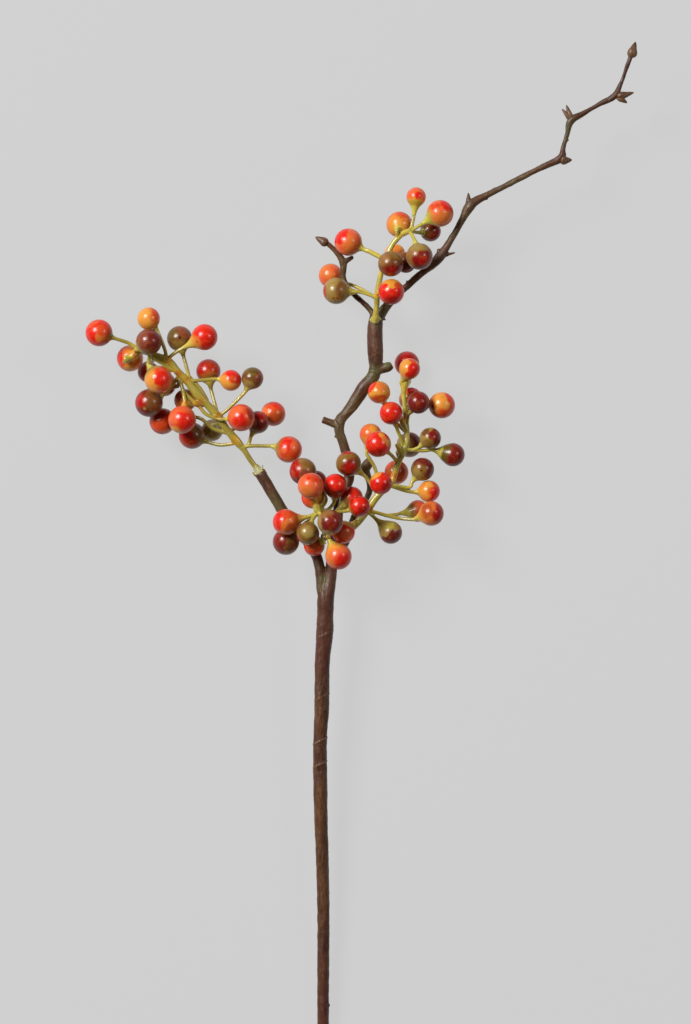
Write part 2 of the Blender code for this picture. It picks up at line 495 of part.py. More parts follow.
def berry_cluster(spray, model, stalk, paints):
    """The rachis, its side stalks and its berries, as one body."""
    repeats = new_collection(spray.name + "_repeats")
    points = peg_points(spray.socket) + list(spray.rachis)
    rachis = tube(spray.name, points, TWIG_SIDES, model, stalk)
    for number, stub in enumerate(spray.stubs, 1):
        tube(f"{spray.name}_stub_{number}", stub, STALK_SIDES, repeats, stalk)
    for number, berry in enumerate(spray.berries, 1):
        berry_with_stalk(f"{spray.name}_berry_{number}", berry, repeats, stalk, paints[berry.tone])
    fuse(rachis, repeats)
    return rachis


def woody_stem(model, bark):
    """The trunk, its twigs, cut stubs and buds, as one body."""
    repeats = new_collection("woody_stem_repeats")
    trunk = tube("woody_stem", BRANCHES[0].points, BRANCHES[0].sides, model, bark)
    for branch in BRANCHES[1:]:
        tube(branch.name, branch.points, branch.sides, repeats, bark)
    for bud in BUDS:
        bud_shape(bud, repeats, bark)
    fuse(trunk, repeats)
    return trunk


def main():
    clear_scene()
    model = new_collection("rowan_berry_sprig")
    cutters = new_collection("cutters")
    stem = woody_stem(model, bark_material())
    stalk = stalk_material()
    paints = berry_materials()
    clusters = [berry_cluster(spray, model, stalk, paints) for spray in SPRAYS]
    under = Matrix.Translation((0.0, PLANE_CENTRE_Y * MM, -PLANE_SIZE / 2 * MM))
    table = box_cutter("resting_plane", PLANE_SIZE, under, cutters)
    for resting in (stem, clusters[0], clusters[2]):
        cut(resting, table)
    slope = Matrix.Translation(metres(CUT_CENTRE)) @ Matrix.Rotation(CUT_SLOPE, 4, "X")
    beyond = slope @ Matrix.Translation((0.0, -CUTTER_SIZE / 2 * MM, 0.0))
    cut(stem, box_cutter("stem_end", CUTTER_SIZE, beyond, cutters))
    for spray in SPRAYS:
        cut(stem, socket_cutter(spray.name + "_socket", spray.socket, cutters))
    for piece in (stem, *clusters):
        smooth(piece)


main()
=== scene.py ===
"""Looks of a cut rowan sprig: bark, buds, green stalks and painted berries, lying on a pale floor.

Lengths in the lists are in millimetres. A point of a limb is (x, y, z, diameter). The camera looks
straight down, so a berry's patches are placed by how far right and up of its middle they show,
in radii. The patches on the side that faces the floor are worked out from the ones that show.
"""

import math
import random
from collections import namedtuple

import bmesh
import bpy
from bpy.props import (
    FloatProperty,
    FloatVectorProperty,
    IntProperty,
    PointerProperty,
)
from bpy.types import Operator, Panel, PropertyGroup
from mathutils import Matrix, Vector
from mathutils.kdtree import KDTree


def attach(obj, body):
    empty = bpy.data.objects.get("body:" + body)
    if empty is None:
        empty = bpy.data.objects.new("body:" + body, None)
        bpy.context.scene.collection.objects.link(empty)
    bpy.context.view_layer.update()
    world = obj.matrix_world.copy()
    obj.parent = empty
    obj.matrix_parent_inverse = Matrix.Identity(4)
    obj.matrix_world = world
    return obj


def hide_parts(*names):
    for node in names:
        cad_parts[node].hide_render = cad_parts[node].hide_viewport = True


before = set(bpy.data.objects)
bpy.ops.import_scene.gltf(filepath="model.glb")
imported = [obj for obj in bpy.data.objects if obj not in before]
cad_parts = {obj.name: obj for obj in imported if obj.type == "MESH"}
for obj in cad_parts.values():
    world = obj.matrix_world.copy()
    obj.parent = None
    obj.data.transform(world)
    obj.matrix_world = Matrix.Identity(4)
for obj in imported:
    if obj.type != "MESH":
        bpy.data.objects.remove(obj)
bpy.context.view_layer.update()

bl_info = {
    "name": "Rowan berry sprig",
    "version": (1, 0, 0),
    "blender": (4, 5, 0),
    "location": "3D View > Sidebar > Rowan",
    "description": "Builds the bark, buds, stalks and painted berries of a rowan sprig",
    "category": "Add Mesh",
}

MM = 0.001
# The lowest height of any point, in metres, so that no piece dips below the floor.
LOWEST = 0.00002
# How finely limbs are drawn before they are fused, and how the fused skin is smoothed.
LIMB_STEP = 0.4 * MM
LIMB_SIDES = 20
SMOOTH_FACTOR = 0.5
SMOOTH_ROUNDS = 3
# Added to the distance along each further limb, so that the grain differs from limb to limb.
LIMB_OFFSET = 500
# The rings of a berry's ball within this angle of its pole draw the neck.
NECK_RINGS = math.radians(60)
# How far the neck's curve keeps its direction at the shoulder and at the tip, as a share of its length.
NECK_SHOULDER = 0.6
NECK_TIP = 0.45
# How far a stalk runs on into its berry's neck, as a share of the berry's diameter, and how much
# thicker than the stalk the neck's tip is.
STALK_OVERLAP = 0.15
NECK_OVER_STALK = 1.1
# Patches on each berry. The last one is on the side that faces the floor: how far from the middle of
# that side it may lie, its smallest and largest size in degrees, its edge and how far down it points.
PATCHES = 5
UNDER_SHIFT = 0.5
UNDER_SIZES = (30, 50)
UNDER_EDGE = 3
UNDER_DEPTH = -0.8
# What a berry with fewer patches stores for the missing ones, which cover nothing.
NO_PATCH = ((0, 0, 0), (0, 0, 0, 9))
# A pore's width, length and height against its size setting, and the range of its sizes.
PORE_SHAPE = (0.55, 1.0, 0.3)
PORE_SIZES = (0.45, 1.1)
# Seeds of the random draws.
PORE_SEED = 5
PORE_SIZE_SEED = 3
BUD_SEED = 8
SKIN_SEED = 21

# The slanted cut at the stem's lower end and the middle of the rings on it, in millimetres.
CUT_PLACE = (0.0, -3.3, 2.0)
CUT_SLOPE = math.radians(28)
RINGS_MIDDLE = (0.0, -3.6, 2.3)
# How steeply the rings of SCARS climb, half their width, and how far from its point one can reach.
SCAR_TILT = 0.5
SCAR_HALF_WIDTH = 0.45
SCAR_REACH = 6
# The turn from one scale of a bud to the next and how far it varies, how full a scale is towards its
# base, how far an outer scale leans out, and how pale a scale can be.
SCALE_TURN = 2.4
TURN_SHIFT = 0.2
SCALE_SWELL = 0.62
SCALE_LEAN = 0.3
SCALE_PALEST = 0.7
# A bump's thickness at its root and at its tip, and how far the tip rises.
BUMP_ROOT = 1.6
BUMP_TIP = 0.7
BUMP_RISE = 0.2

# Each light's name, direction from the sprig's middle, diameter and power setting. These and the
# places and distances below are in metres.
LIGHTS = (
    ("key_light", (-0.56, 0.42, 0.71), 0.8, "key"),
    ("fill_light", (0.70, 0.24, 0.67), 0.5, "fill"),
)
LIGHT_DISTANCE = 1.8
SPRIG_MIDDLE = (0.0, 0.29, 0.02)
CAMERA_PLACE = (0.0088, 0.2592)
FLOOR_RADIUS = 14.0
# The heights of a direction between which the even light changes from the horizon's to the sky's.
HORIZON_BAND = (0.03, 0.35)

Bud = namedtuple("Bud", "base tip width scales")
Berry = namedtuple("Berry", "centre diameter neck skin stalk")
# The rachis is a bunch's main stalk and the strands are the limbs beside it. A joint is (x, y, reach).
Bunch = namedtuple("Bunch", "name rachis strands joints berries")

TRUNK = (
    (-0.3, -9, 2.45, 4.7), (-0.3, 7, 2.5, 4.7), (-0.2, 40, 4.2, 4.7), (-0.2, 62, 5.5, 4.8),
    (-0.1, 80, 6.6, 4.9), (-0.1, 100, 8, 5), (-0.5, 120, 9.3, 5.2), (-1, 134, 10.3, 5.4),
    (-1.3, 150, 11.5, 5.7), (-1.4, 163, 12.5, 5.6), (-1.2, 172, 13.1, 5.6), (-0.7, 180, 13.7, 6),
    (-0.6, 192, 14.5, 6), (-0.4, 200, 15.1, 6.1), (0.1, 206, 15.5, 6.6), (0.5, 212, 15.9, 6.9),
    (0.7, 218, 16.4, 6.6), (1, 225.5, 16.9, 6.8), (2.5, 232, 17.1, 5.2), (3.2, 236.4, 17.2, 4.7),
    (3.5, 241, 17.3, 4.6), (4.4, 247, 17.4, 4.4), (5.4, 253, 17.4, 4.3), (5.9, 260, 17.5, 4.3),
    (7.8, 267, 17.6, 4.1), (10, 272, 17.6, 4.2), (10.1, 278, 17.7, 4.2), (8.8, 283.5, 17.8, 3.9),
    (7.4, 288.2, 17.9, 3.8), (6.3, 292, 18, 4), (6.8, 296, 18, 4.5), (8.8, 298.4, 18.1, 4.1),
    (11.5, 301.8, 18.2, 4.8), (14.2, 306, 18.4, 5.3), (16.2, 309, 18.6, 5.6), (18.9, 312, 18.8, 5.2),
    (20.3, 314.6, 18.9, 5.2), (20.8, 317.2, 19, 5.2), (20.9, 320, 19.1, 5.8), (20.7, 324, 19.3, 6.4),
    (20.6, 328, 19.5, 6.3), (20.6, 333, 19.8, 6.1), (21.3, 338.5, 20, 5.5),
)
LEFT_TWIG = (
    (0.6, 221, 16.6, 4), (-0.6, 227.2, 17, 4.2), (-1, 232, 17, 4.2), (-1.6, 237.2, 17, 4.2),
    (-2.8, 241.4, 17, 4.2), (-5.2, 245.8, 17, 4.4), (-9.4, 251.6, 17, 4.5), (-13.6, 256.2, 17, 4.6),
    (-17, 260.6, 17, 4.6), (-19.6, 265.2, 17, 4.6), (-21.4, 268.1, 17, 4.6), (-25.5, 274.9, 17, 4.8),
)
SIDE_TWIG = (
    (5, 241.5, 16.8, 3), (9, 247, 15.2, 2.8), (12.6, 258, 13.6, 2.6), (17.8, 265.6, 13, 2.5),
    (18.6, 270.5, 13, 2.6), (17.2, 274.6, 13, 3.2), (16.6, 276.4, 13.2, 3.8), (17.4, 278, 13.4, 4.4),
    (18.8, 280, 13.4, 3.4),
)
KNOB_STUB = ((6.6, 293.6, 18, 3.6), (3, 295, 18, 3), (-0.4, 296.2, 18, 2.8))
RIGHT_STUB = ((20.4, 315.6, 19, 3.4), (23.2, 316.4, 19, 3.6), (25.8, 317.4, 19, 4), (27.4, 318.2, 19, 2.8))
SMALL_TWIG = (
    (20.8, 336.6, 20, 3.2), (19, 339.6, 20, 2.5), (15.8, 343, 20, 2.2), (12.4, 346, 20, 2.2),
    (9.4, 349.6, 20.2, 2.2), (7.9, 353.6, 20.3, 2.3), (7.8, 358.8, 20.5, 2.9), (4.8, 363.6, 20.5, 2.2),
    (1.4, 366.6, 20.6, 2.2),
)
SMALL_SPUR = ((7.4, 358.6, 20.5, 2.6), (9.8, 360, 20.4, 2.2), (11.9, 361.2, 20.4, 1.6))
LONG_TWIG = (
    (21.3, 336.4, 20, 5), (25, 341.2, 20.2, 3.8), (29, 345.2, 20.4, 3.2), (32.8, 349, 20.6, 2.8),
    (36.8, 352.6, 20.8, 2.8), (40.2, 355.4, 21, 2.9), (43.6, 358.2, 21.2, 3.6), (46.4, 361.2, 21.4, 4.2),
    (48.6, 364.4, 21.5, 3.2), (51.2, 368.6, 21.8, 2.7), (55.6, 376.2, 22, 2.9), (58.3, 381.2, 22.2, 4.2),
    (63.2, 384.8, 22.4, 2.9), (70.6, 388.4, 22.7, 2.4), (78.6, 392.6, 23, 2.4), (86.6, 396.6, 23.3, 2.4),
    (94.6, 400.4, 23.6, 3.2), (95.8, 404.8, 23.8, 2), (97.4, 410.4, 24, 2), (99, 415.6, 24.2, 3.2),
    (104.6, 418.8, 24.3, 2), (110.6, 422.2, 24.4, 2), (116.2, 425.4, 24.6, 2.8), (118.6, 430, 24.7, 1.7),
    (120.3, 434.4, 24.8, 1.7), (122.2, 439.6, 25, 1.9), (123, 441.8, 25, 2),
)
LIMBS = (TRUNK, LEFT_TWIG, SIDE_TWIG, KNOB_STUB, RIGHT_STUB, SMALL_TWIG, SMALL_SPUR, LONG_TWIG)

# Pointed leaf scars, from the middle of a twig to their tips.
THORNS = (
    ((46.6, 361.4, 21.4, 2.4), (52.6, 362.9, 21.4, 0.6)), ((46, 361, 21.6, 2.2), (45.8, 364.6, 22.2, 0.8)),
    ((58, 380.6, 22.2, 3.4), (57.9, 386.8, 22.4, 0.6)),
    ((-23.2, 274.6, 17.2, 1.5), (-24, 276.6, 17.4, 0.6)),
    ((-27.3, 273.9, 17.2, 1.5), (-28.4, 275.2, 17.2, 0.6)),
)
# Small bumps, by where their tips stand out from the nearest twig.
BUMPS = (
    (68.2, 388.8), (65.4, 384), (75, 389.2), (81.8, 395.6), (87.8, 395.8), (98, 407.6), (111.4, 423.2),
    (120.8, 433.2), (53.4, 374.8), (55, 372.4), (4.2, 289.2), (9.1, 289.2), (2.6, 60.8), (33, 351.8),
    (25, 335.8),
)
# Rings round the stem where it is cracked or scarred: x, y and how pale the ring is.
SCARS = (
    (-1.2, 167.4, 0.9), (-1.3, 158, 0.8), (8, 298, 0.35), (20.9, 322, 0.3), (0.4, 210, 0.4),
    (-0.6, 185, 0.4), (8.6, 283, 0.5),
)
# Places where green shows through the bark: x, y, reach and strength.
GREEN_PLACES = (
    (-0.4, 232.4, 3.2, 0.7), (-1.4, 238, 3, 0.4), (-1.6, 229, 3, 0.5), (19.8, 314.8, 5, 0.8),
    (-18, 262, 7, 0.5), (-8, 250, 5, 0.4), (25, 340, 9, 0.6), (27, 318, 4, 0.9), (16, 262, 9, 0.4),
    (18, 274, 8, 0.4), (11, 252, 6, 0.5), (9, 292, 9, 0.45), (14, 300, 8, 0.4), (55, 375, 12, 0.35),
    (74, 391, 14, 0.3), (98, 411, 8, 0.5), (8.4, 356, 8, 0.25),
)
# Places where the bark is reddest.
RED_PLACES = (
    (0.8, 214, 22, 0.9), (-0.2, 40, 55, 0.8), (-12, 254, 12, 0.7), (3.4, 240, 12, 0.8), (12, 305, 8, 0.3),
    (9, 280, 8, 0.3), (-1, 140, 10, 0.4), (20.6, 326, 8, 0.4),
)

# Pale bases of the stalks: x, y, reach and strength.
PALE_PLACES = ((-25.8, 275.4, 3.4, 0.8), (20.7, 334.8, 2.4, 0.4))

# Older, browner lengths of stalk: x, y, reach and strength.
DULL_PLACES = (
    (-40, 294, 16, 0.6), (-56, 312, 14, 0.5), (-69, 323, 7, 0.4), (-81, 327.6, 5, 0.9), (-28, 280, 8, 0.7),
    (-47, 302, 14, 0.6), (-56, 318, 8, 0.5), (-44, 306, 9, 0.4), (2, 250, 6, 0.35),
)

BUDS = (
    Bud((1.8, 366.4, 20.6), (-3.3, 369.2, 20.7), 4.4, 4),
    Bud((94.4, 399.6, 23.6), (99.3, 399.8, 23.6), 4.4, 4),
    Bud((99, 415.6, 24.2), (97, 421.8, 24.4), 2.9, 3),
    Bud((99, 415.6, 24.2), (95.2, 420.2, 24.4), 2.7, 3),
    Bud((116.8, 424.8, 24.6), (124, 426.7, 24.8), 3.6, 4),
    Bud((117.2, 425.2, 24.6), (121.3, 422.5, 24.4), 3.3, 3),
    Bud((122.6, 440.6, 25), (124.6, 446.9, 25.2), 4.4, 5),
)

LEFT = Bunch("left", (
    (-23.1, 270.9, 17, 2.1), (-26.2, 275.8, 17, 2.1), (-29.4, 280.2, 17.8, 2.2), (-31.8, 284, 18.6, 2.4),
    (-34.8, 287.6, 19.3, 3.5), (-38.6, 292.2, 20, 3), (-42, 297, 20.4, 3.6), (-46.2, 301.8, 20.7, 3.1),
    (-50, 305.8, 21, 3.7), (-54, 311, 21.2, 3.3), (-58.2, 315.2, 21.4, 3), (-62, 319.6, 21.6, 3.1),
    (-67.4, 322, 21.5, 2.5), (-74, 324.2, 21, 2.8),
), (
    ((-73.8, 324, 21.2, 2.4), (-75.4, 322.4, 22.2, 3.2), (-77.2, 320.9, 22.4, 2.8),
     (-79, 320.3, 22.4, 3.7), (-79.8, 320.5, 22.4, 3.2)),
    ((-24.8, 273.8, 17, 4.2), (-26.2, 276, 17.1, 3.4), (-27.4, 277.8, 17.3, 2.4)),
    ((-27, 274, 17.6, 0.8), (-28.6, 274.9, 18, 0.5)),
    ((-24.4, 276.4, 17.8, 0.8), (-24.4, 278.2, 18.4, 0.4)),
    ((-46.6, 303.6, 20.2, 2), (-49.8, 308.6, 20.4, 2.2), (-54.6, 314, 20.6, 1.8)),
    ((-69.2, 322, 21.6, 1.4), (-68.6, 320.8, 22, 1.2), (-65.4, 319, 22.2, 1.2), (-62.2, 316.8, 22, 1.4),
     (-60.4, 315.4, 21.4, 1.4)),
    ((-57.6, 312.4, 21.6, 1.6), (-55.6, 307.2, 22.2, 1.5), (-52.4, 303.8, 22.2, 1.7),
     (-50.4, 302.4, 21.6, 2.8), (-46.8, 302.4, 20.8, 1.8)),
), (
    (-35.4, 287.6, 3), (-42, 298, 2.4), (-50.2, 302.4, 3), (-54.6, 312, 2.4), (-62.4, 320.4, 2.6),
    (-76, 322, 2.6), (-57.8, 314.2, 2.2),
), (
    Berry((-89.7, 330.8, 22), 10.8, (0.25, 20, "olive"),
          ("red", (0.12, -0.36, 24, "orange", 2.2), (0.25, 0.2, 26, "vermilion", 1.6),
           (-0.5, 0.75, 28, "vermilion", 1.5), (0.9, -0.3, 20, "rust", 1.6)),
          ((-74.2, 324.2, 21), (-77.6, 326.6, 21.8), (-83.4, 328.6, 22))),
    Berry((-69.8, 336.4, 24), 9.1, (0.3, 22, "tangerine"),
          ("amber", (1, 0.25, 66, "vermilion", 1.6), (0.9, -0.5, 34, "coral", 1.4)),
          ((-62.6, 320.4, 21.6), (-63.4, 324, 22.6), (-65, 328.4, 23.2), (-66.8, 332.6, 23.8))),
    Berry((-69.6, 327, 29), 10.4, (0.45, 58, "lime"),
          ("maroon", (-0.5, 0.3, 38, "dusky", 1.5), (0, -0.9, 30, "umber", 1.5)),
          ((-74.6, 323.4, 21.4), (-75, 323.8, 25.4))),
    Berry((-77.6, 320.8, 14), 10.6, (0.3, 20, "tangerine"),
          ("vermilion", (-0.6, 0.5, 45, "red", 1.8), (0.7, -0.3, 44, "orange", 1.3),
           (0.1, -0.8, 30, "tangerine", 1.4)),
          ((-73.4, 324, 21), (-75.2, 323, 18.4))),
    Berry((-70.6, 315.6, 4.3), 8.6, (0.3, 20, "brick"), ("brick", (-0.6, 0.3, 35, "maroon", 2)),
          ((-66.6, 321.8, 21.4), (-68.6, 319.5, 15.5), (-70, 317, 10.4))),
    Berry((-65.8, 312, 27), 11.2, (0.4, 30, "khaki"),
          ("vermilion", (-1, -0.1, 84, "amber", 2), (0.3, 0.1, 34, "red", 1.2),
           (0.75, -0.5, 30, "coral", 1.4)),
          ((-69.4, 322.2, 21.6), (-69.8, 319.2, 24), (-70.6, 316.8, 26))),
    Berry((-63.8, 310.4, 14), 9.6, (0.4, 26, "rust"), ("vermilion", (0.5, 0.3, 40, "orange", 1.8)),
          ((-57.6, 311.6, 21), (-58.2, 309.8, 18.6), (-59.4, 308.4, 16.6))),
    Berry((-69.8, 302.8, 20), 11.2, (0.3, 22, "umber"),
          ("umber", (-0.85, 0.3, 56, "wine", 1.6), (-0.4, -0.75, 34, "maroon", 1.5),
           (-0.3, -0.42, 8, "khaki", 1), (-0.6, 0.1, 30, "crimson", 1.2)),
          ((-57.4, 314.2, 21.3), (-61.8, 308.2, 20.2), (-65, 305.2, 20))),
    Berry((-64.6, 295.6, 13), 10.6, (0.4, 22, "brick"),
          ("brick", (0.2, 0.7, 36, "crimson", 1.5), (-0.3, -0.4, 42, "vermilion", 1.3),
           (0.4, -0.8, 24, "orange", 1.5)),
          ((-36.8, 290.2, 19.7), (-44.2, 292.6, 19.6), (-49.6, 296.8, 18.6), (-58.4, 297.4, 14.8))),
    Berry((-56.4, 296, 26), 11.2, (0.4, 20, "coral"),
          ("vermilion", (-0.6, 0.2, 38, "coral", 1.4), (0.35, -0.3, 40, "red", 1.2),
           (-0.4, -0.8, 28, "tangerine", 1.5), (-0.1, 0.2, 22, "red", 1.2)),
          ((-57.4, 311.6, 21.4), (-56.2, 308, 22.8), (-55.6, 304.8, 24), (-55, 301.6, 25.2))),
    Berry((-55.4, 304, 15), 9, (0.4, 24, "tangerine"),
          ("brick", (-0.4, -0.3, 34, "orange", 1.8), (0.4, 0.5, 30, "maroon", 2)),
          ((-50.6, 302.6, 21.2), (-52.6, 302.8, 18.8))),
    Berry((-52.7, 289.8, 15), 10.7, (0.4, 26, "olive"),
          ("crimson", (0.7, 0.5, 60, "umber", 1.8), (-0.3, -0.6, 40, "brick", 1.4),
           (0.1, 0.4, 16, "brown", 1.2)),
          ((-35, 286.8, 19.2), (-41, 286, 17.8), (-46.6, 287.2, 16.2))),
    Berry((-44.8, 292, 9), 8.8, (0.5, 45, "khaki"),
          ("khaki", (-0.3, 0.6, 40, "olive", 1.6), (0.3, -0.4, 30, "khaki", 1.4)),
          ((-40.6, 295, 20.2), (-43.4, 294.2, 16.4))),
    Berry((-57.6, 328.6, 18), 10.2, (0.5, 42, "khaki"),
          ("umber", (-0.1, -0.9, 48, "olive", 1.6), (0.55, 0.55, 38, "dusky", 1.6),
           (-0.6, 0.4, 30, "moss", 1.4), (0.05, 0.05, 6, "pit", 1.3)),
          ((-53.4, 312, 21.2), (-54.2, 315, 21), (-55.4, 319.4, 20.2), (-56.4, 322.8, 19.2))),
    Berry((-47.5, 329, 25), 10.5, (0.9, 46, "amber"),
          ("red", (-0.8, -0.45, 46, "orange", 1.8), (-0.95, -0.2, 26, "tangerine", 1.5),
           (-0.56, -0.37, 7, "crimson", 1.8)),
          ((-62.4, 319.8, 21.6), (-60.4, 322, 22.8), (-56, 324.8, 23.8), (-53.2, 326.4, 24.6))),
    Berry((-46.2, 315.6, 14), 9.8, (0.6, 44, "olive"),
          ("brick", (0.1, -0.6, 36, "rust", 1.4), (-0.5, 0.3, 30, "crimson", 1.4)),
          ((-42, 297.6, 20.4), (-43.6, 302.8, 18.8), (-45, 308, 16.8), (-45.4, 310.4, 15.6))),
    Berry((-37, 311.8, 22), 8.5, (0.35, 28, "amber"),
          ("red", (-0.62, -0.7, 78, "amber", 2.4), (0.2, 0.1, 24, "vermilion", 1.5)),
          ((-53.6, 311.8, 21.2), (-50, 311.8, 21.6), (-44, 312.3, 21.8), (-41.2, 312.3, 22))),
    Berry((-28.4, 312.7, 21), 8.8, (0.4, 40, "khaki"),
          ("umber", (-0.2, -0.75, 30, "khaki", 1.3), (0.75, 0.2, 34, "dusky", 1.5),
           (-0.1, 0.7, 34, "moss", 1.5)),
          ((-42, 297.6, 20.4), (-38.8, 299.8, 20.6), (-34.2, 304.2, 20.8), (-30.8, 307.8, 21))),
    Berry((-32.8, 296.8, 27), 10.9, (0.3, 22, "coral"),
          ("vermilion", (-0.5, 0.4, 40, "coral", 1.5), (0.45, -0.4, 40, "coral", 1.2),
           (-0.1, -0.25, 32, "red", 1), (0.8, 0.3, 26, "brick", 1.2)),
          ((-50.2, 302.2, 21.6), (-47, 298.4, 22.4), (-42.2, 296.4, 22.8), (-38.2, 296.2, 24.6))),
    Berry((-26.3, 295.1, 19), 9.1, (0.4, 32, "olive"),
          ("maroon", (-0.5, 0, 26, "brown", 1.6), (0.4, 0.5, 30, "crimson", 1.2)),
          ((-32.4, 284.6, 18.8), (-30.2, 286, 19), (-29.2, 288.8, 19), (-28.6, 291, 19))),
    Berry((-20.2, 298.6, 12), 9.9, (0.4, 24, "coral"),
          ("vermilion", (0.2, -0.5, 48, "rust", 1.4), (0.3, 0.8, 34, "red", 1.6),
           (-0.7, 0.1, 30, "orange", 1.4)),
          ((-37.6, 291.8, 20), (-32.6, 293.6, 15.6), (-27.2, 296, 12.4))),
    Berry((-13.9, 284.2, 21), 10.7, (0.45, 24, "khaki"),
          ("vermilion", (-0.3, 0.4, 34, "red", 1.6), (-0.38, -0.05, 17, "coral", 3),
           (0.1, -0.85, 28, "orange", 1.6), (0.5, 0.2, 24, "coral", 1.4)),
          ((-33.4, 284.9, 18.9), (-29.4, 285.6, 19.4), (-22.2, 285.6, 20.4), (-19.4, 286, 20.9))),
))

FRONT = Bunch("front", (
    (5.3, 256.2, 18, 2.2), (3.5, 257.3, 20.9, 2.2), (0.6, 258.8, 25.6, 2.6), (-2, 259.6, 29.4, 3.6),
    (-2.6, 262.4, 30.4, 2.8),
), (
    ((-2, 259.4, 29.6, 2.6), (0.6, 253.6, 29.6, 2), (1.8, 248.6, 30, 2.6)),
    ((3, 254.4, 30.2, 1.2), (-0.4, 249.8, 31, 1.3), (0.6, 246.4, 30.6, 1.4)),
), (
    (1.8, 248.6, 1.6),
), (
    Berry((-8.2, 275.4, 26), 10.8, (0.3, 24, "umber"),
          ("brown", (-0.95, 0.1, 58, "crimson", 2), (-0.3, -0.85, 32, "maroon", 1.5),
           (0.5, 0.6, 34, "olive", 1.4), (0.2, -0.2, 22, "dusky", 1.2)),
          ((-2, 260.4, 29.6), (0.2, 265.4, 28.6), (-2.6, 271.4, 27.4))),
    Berry((-5, 269.6, 36), 10.4, (0.3, 22, "coral"),
          ("coral", (0.3, 0.85, 46, "vermilion", 1.8), (-0.2, 0.6, 8, "red", 3), (0.45, 0.5, 8, "red", 2.4),
           (-0.4, -0.5, 36, "orange", 1.3)),
          ((-2.6, 261.8, 30.2), (-3.2, 264.8, 32.4))),
    Berry((-3, 271.4, 18.6), 8.8, (0.3, 22, "maroon"), ("maroon", (0.6, 0.4, 35, "crimson", 1.8)),
          ((-1.4, 260, 28.6), (1, 263.8, 25), (0, 267.4, 21.6))),
    Berry((4.7, 269.8, 29), 9.4, (0.62, 74, "crimson"),
          ("crimson", (0.1, -0.95, 44, "wine", 2), (-0.1, 0.4, 44, "red", 1.2), (0.4, 0.2, 30, "red", 1.2)),
          ((-1.4, 259.8, 29.6), (1.8, 260.2, 26.4), (4.2, 262.8, 25.6))),
    Berry((-4.2, 265.2, 26), 9.4, (0.5, 26, "orange"),
          ("red", (0.45, -0.3, 44, "tangerine", 1.8), (-0.5, 0.3, 40, "vermilion", 1.3)),
          ((-2.2, 259.4, 29.4), (-4.4, 260, 28.2))),
    Berry((-15, 255.2, 31), 10.4, (0.8, 46, "rust"),
          ("orange", (-0.8, 0.35, 58, "red", 2.4), (0.2, 0.75, 30, "vermilion", 1.3),
           (0.4, -0.5, 26, "rust", 1.3)),
          ((-2.4, 258.8, 29.6), (-6.4, 257.2, 30.6), (-10, 257.4, 31))),
    Berry((-15, 247.3, 23), 10.6, (0.4, 26, "umber"),
          ("brown", (-0.85, 0, 66, "maroon", 2.6), (-0.5, 0.35, 34, "wine", 1),
           (0.35, -0.4, 26, "umber", 1.2), (0.6, 0.5, 32, "khaki", 1.3)),
          ((-2.4, 258.6, 29.2), (-7.4, 254.6, 26.2), (-11, 250.8, 24.2))),
    Berry((-6.2, 250.7, 33), 9.2, (0.3, 28, "olive"),
          ("olive", (-0.85, -0.55, 32, "brick", 1.8), (0.6, -0.3, 34, "umber", 1.2),
           (0, 0.2, 34, "khaki", 1.2)),
          ((-2.4, 258.8, 29.8), (-4.8, 255.6, 31.8))),
    Berry((-3.7, 245.8, 25), 8.4, (0.6, 42, "rust"),
          ("red", (0.85, 0.4, 50, "orange", 2), (0, -0.8, 40, "vermilion", 1.4),
           (-0.5, 0.3, 36, "coral", 1.1)),
          ((1.6, 249, 30), (-0.8, 247.8, 27.4))),
    Berry((2.7, 255.1, 37.9), 10.2, (0.3, 24, "umber"),
          ("maroon", (-1, -0.1, 50, "khaki", 1.8), (-0.2, -0.95, 36, "khaki", 1.8),
           (-0.2, 0.8, 34, "brown", 1.3), (0.3, -0.1, 40, "wine", 0.9)),
          ((-2, 259, 29.8), (-0.4, 257.8, 33.4))),
    Berry((6, 241.5, 30), 10.6, (0.6, 46, "amber"),
          ("coral", (0.35, -0.25, 40, "red", 1.1), (-0.15, 0.9, 26, "amber", 1.6),
           (-0.8, -0.3, 30, "orange", 1.3)),
          ((1.6, 249.2, 30), (3.4, 247, 30.2))),
    Berry((11.2, 264.8, 24), 9.2, (0.8, 56, "brown"),
          ("red", (-0.75, -0.5, 44, "rust", 1.6), (-0.35, 0.5, 24, "crimson", 1.4),
           (0.5, -0.6, 30, "orange", 1.6)),
          ((-1.8, 259.4, 29.4), (4, 259.2, 27.2), (7.8, 260.4, 25.4))),
    Berry((14.3, 261.4, 32), 8.5, (0.3, 30, "neck"),
          ("crimson", (-0.2, 0.3, 50, "red", 1), (0.4, -0.5, 30, "crimson", 1.3)),
          ((4.4, 259.2, 27), (9, 259.6, 29.6))),
))

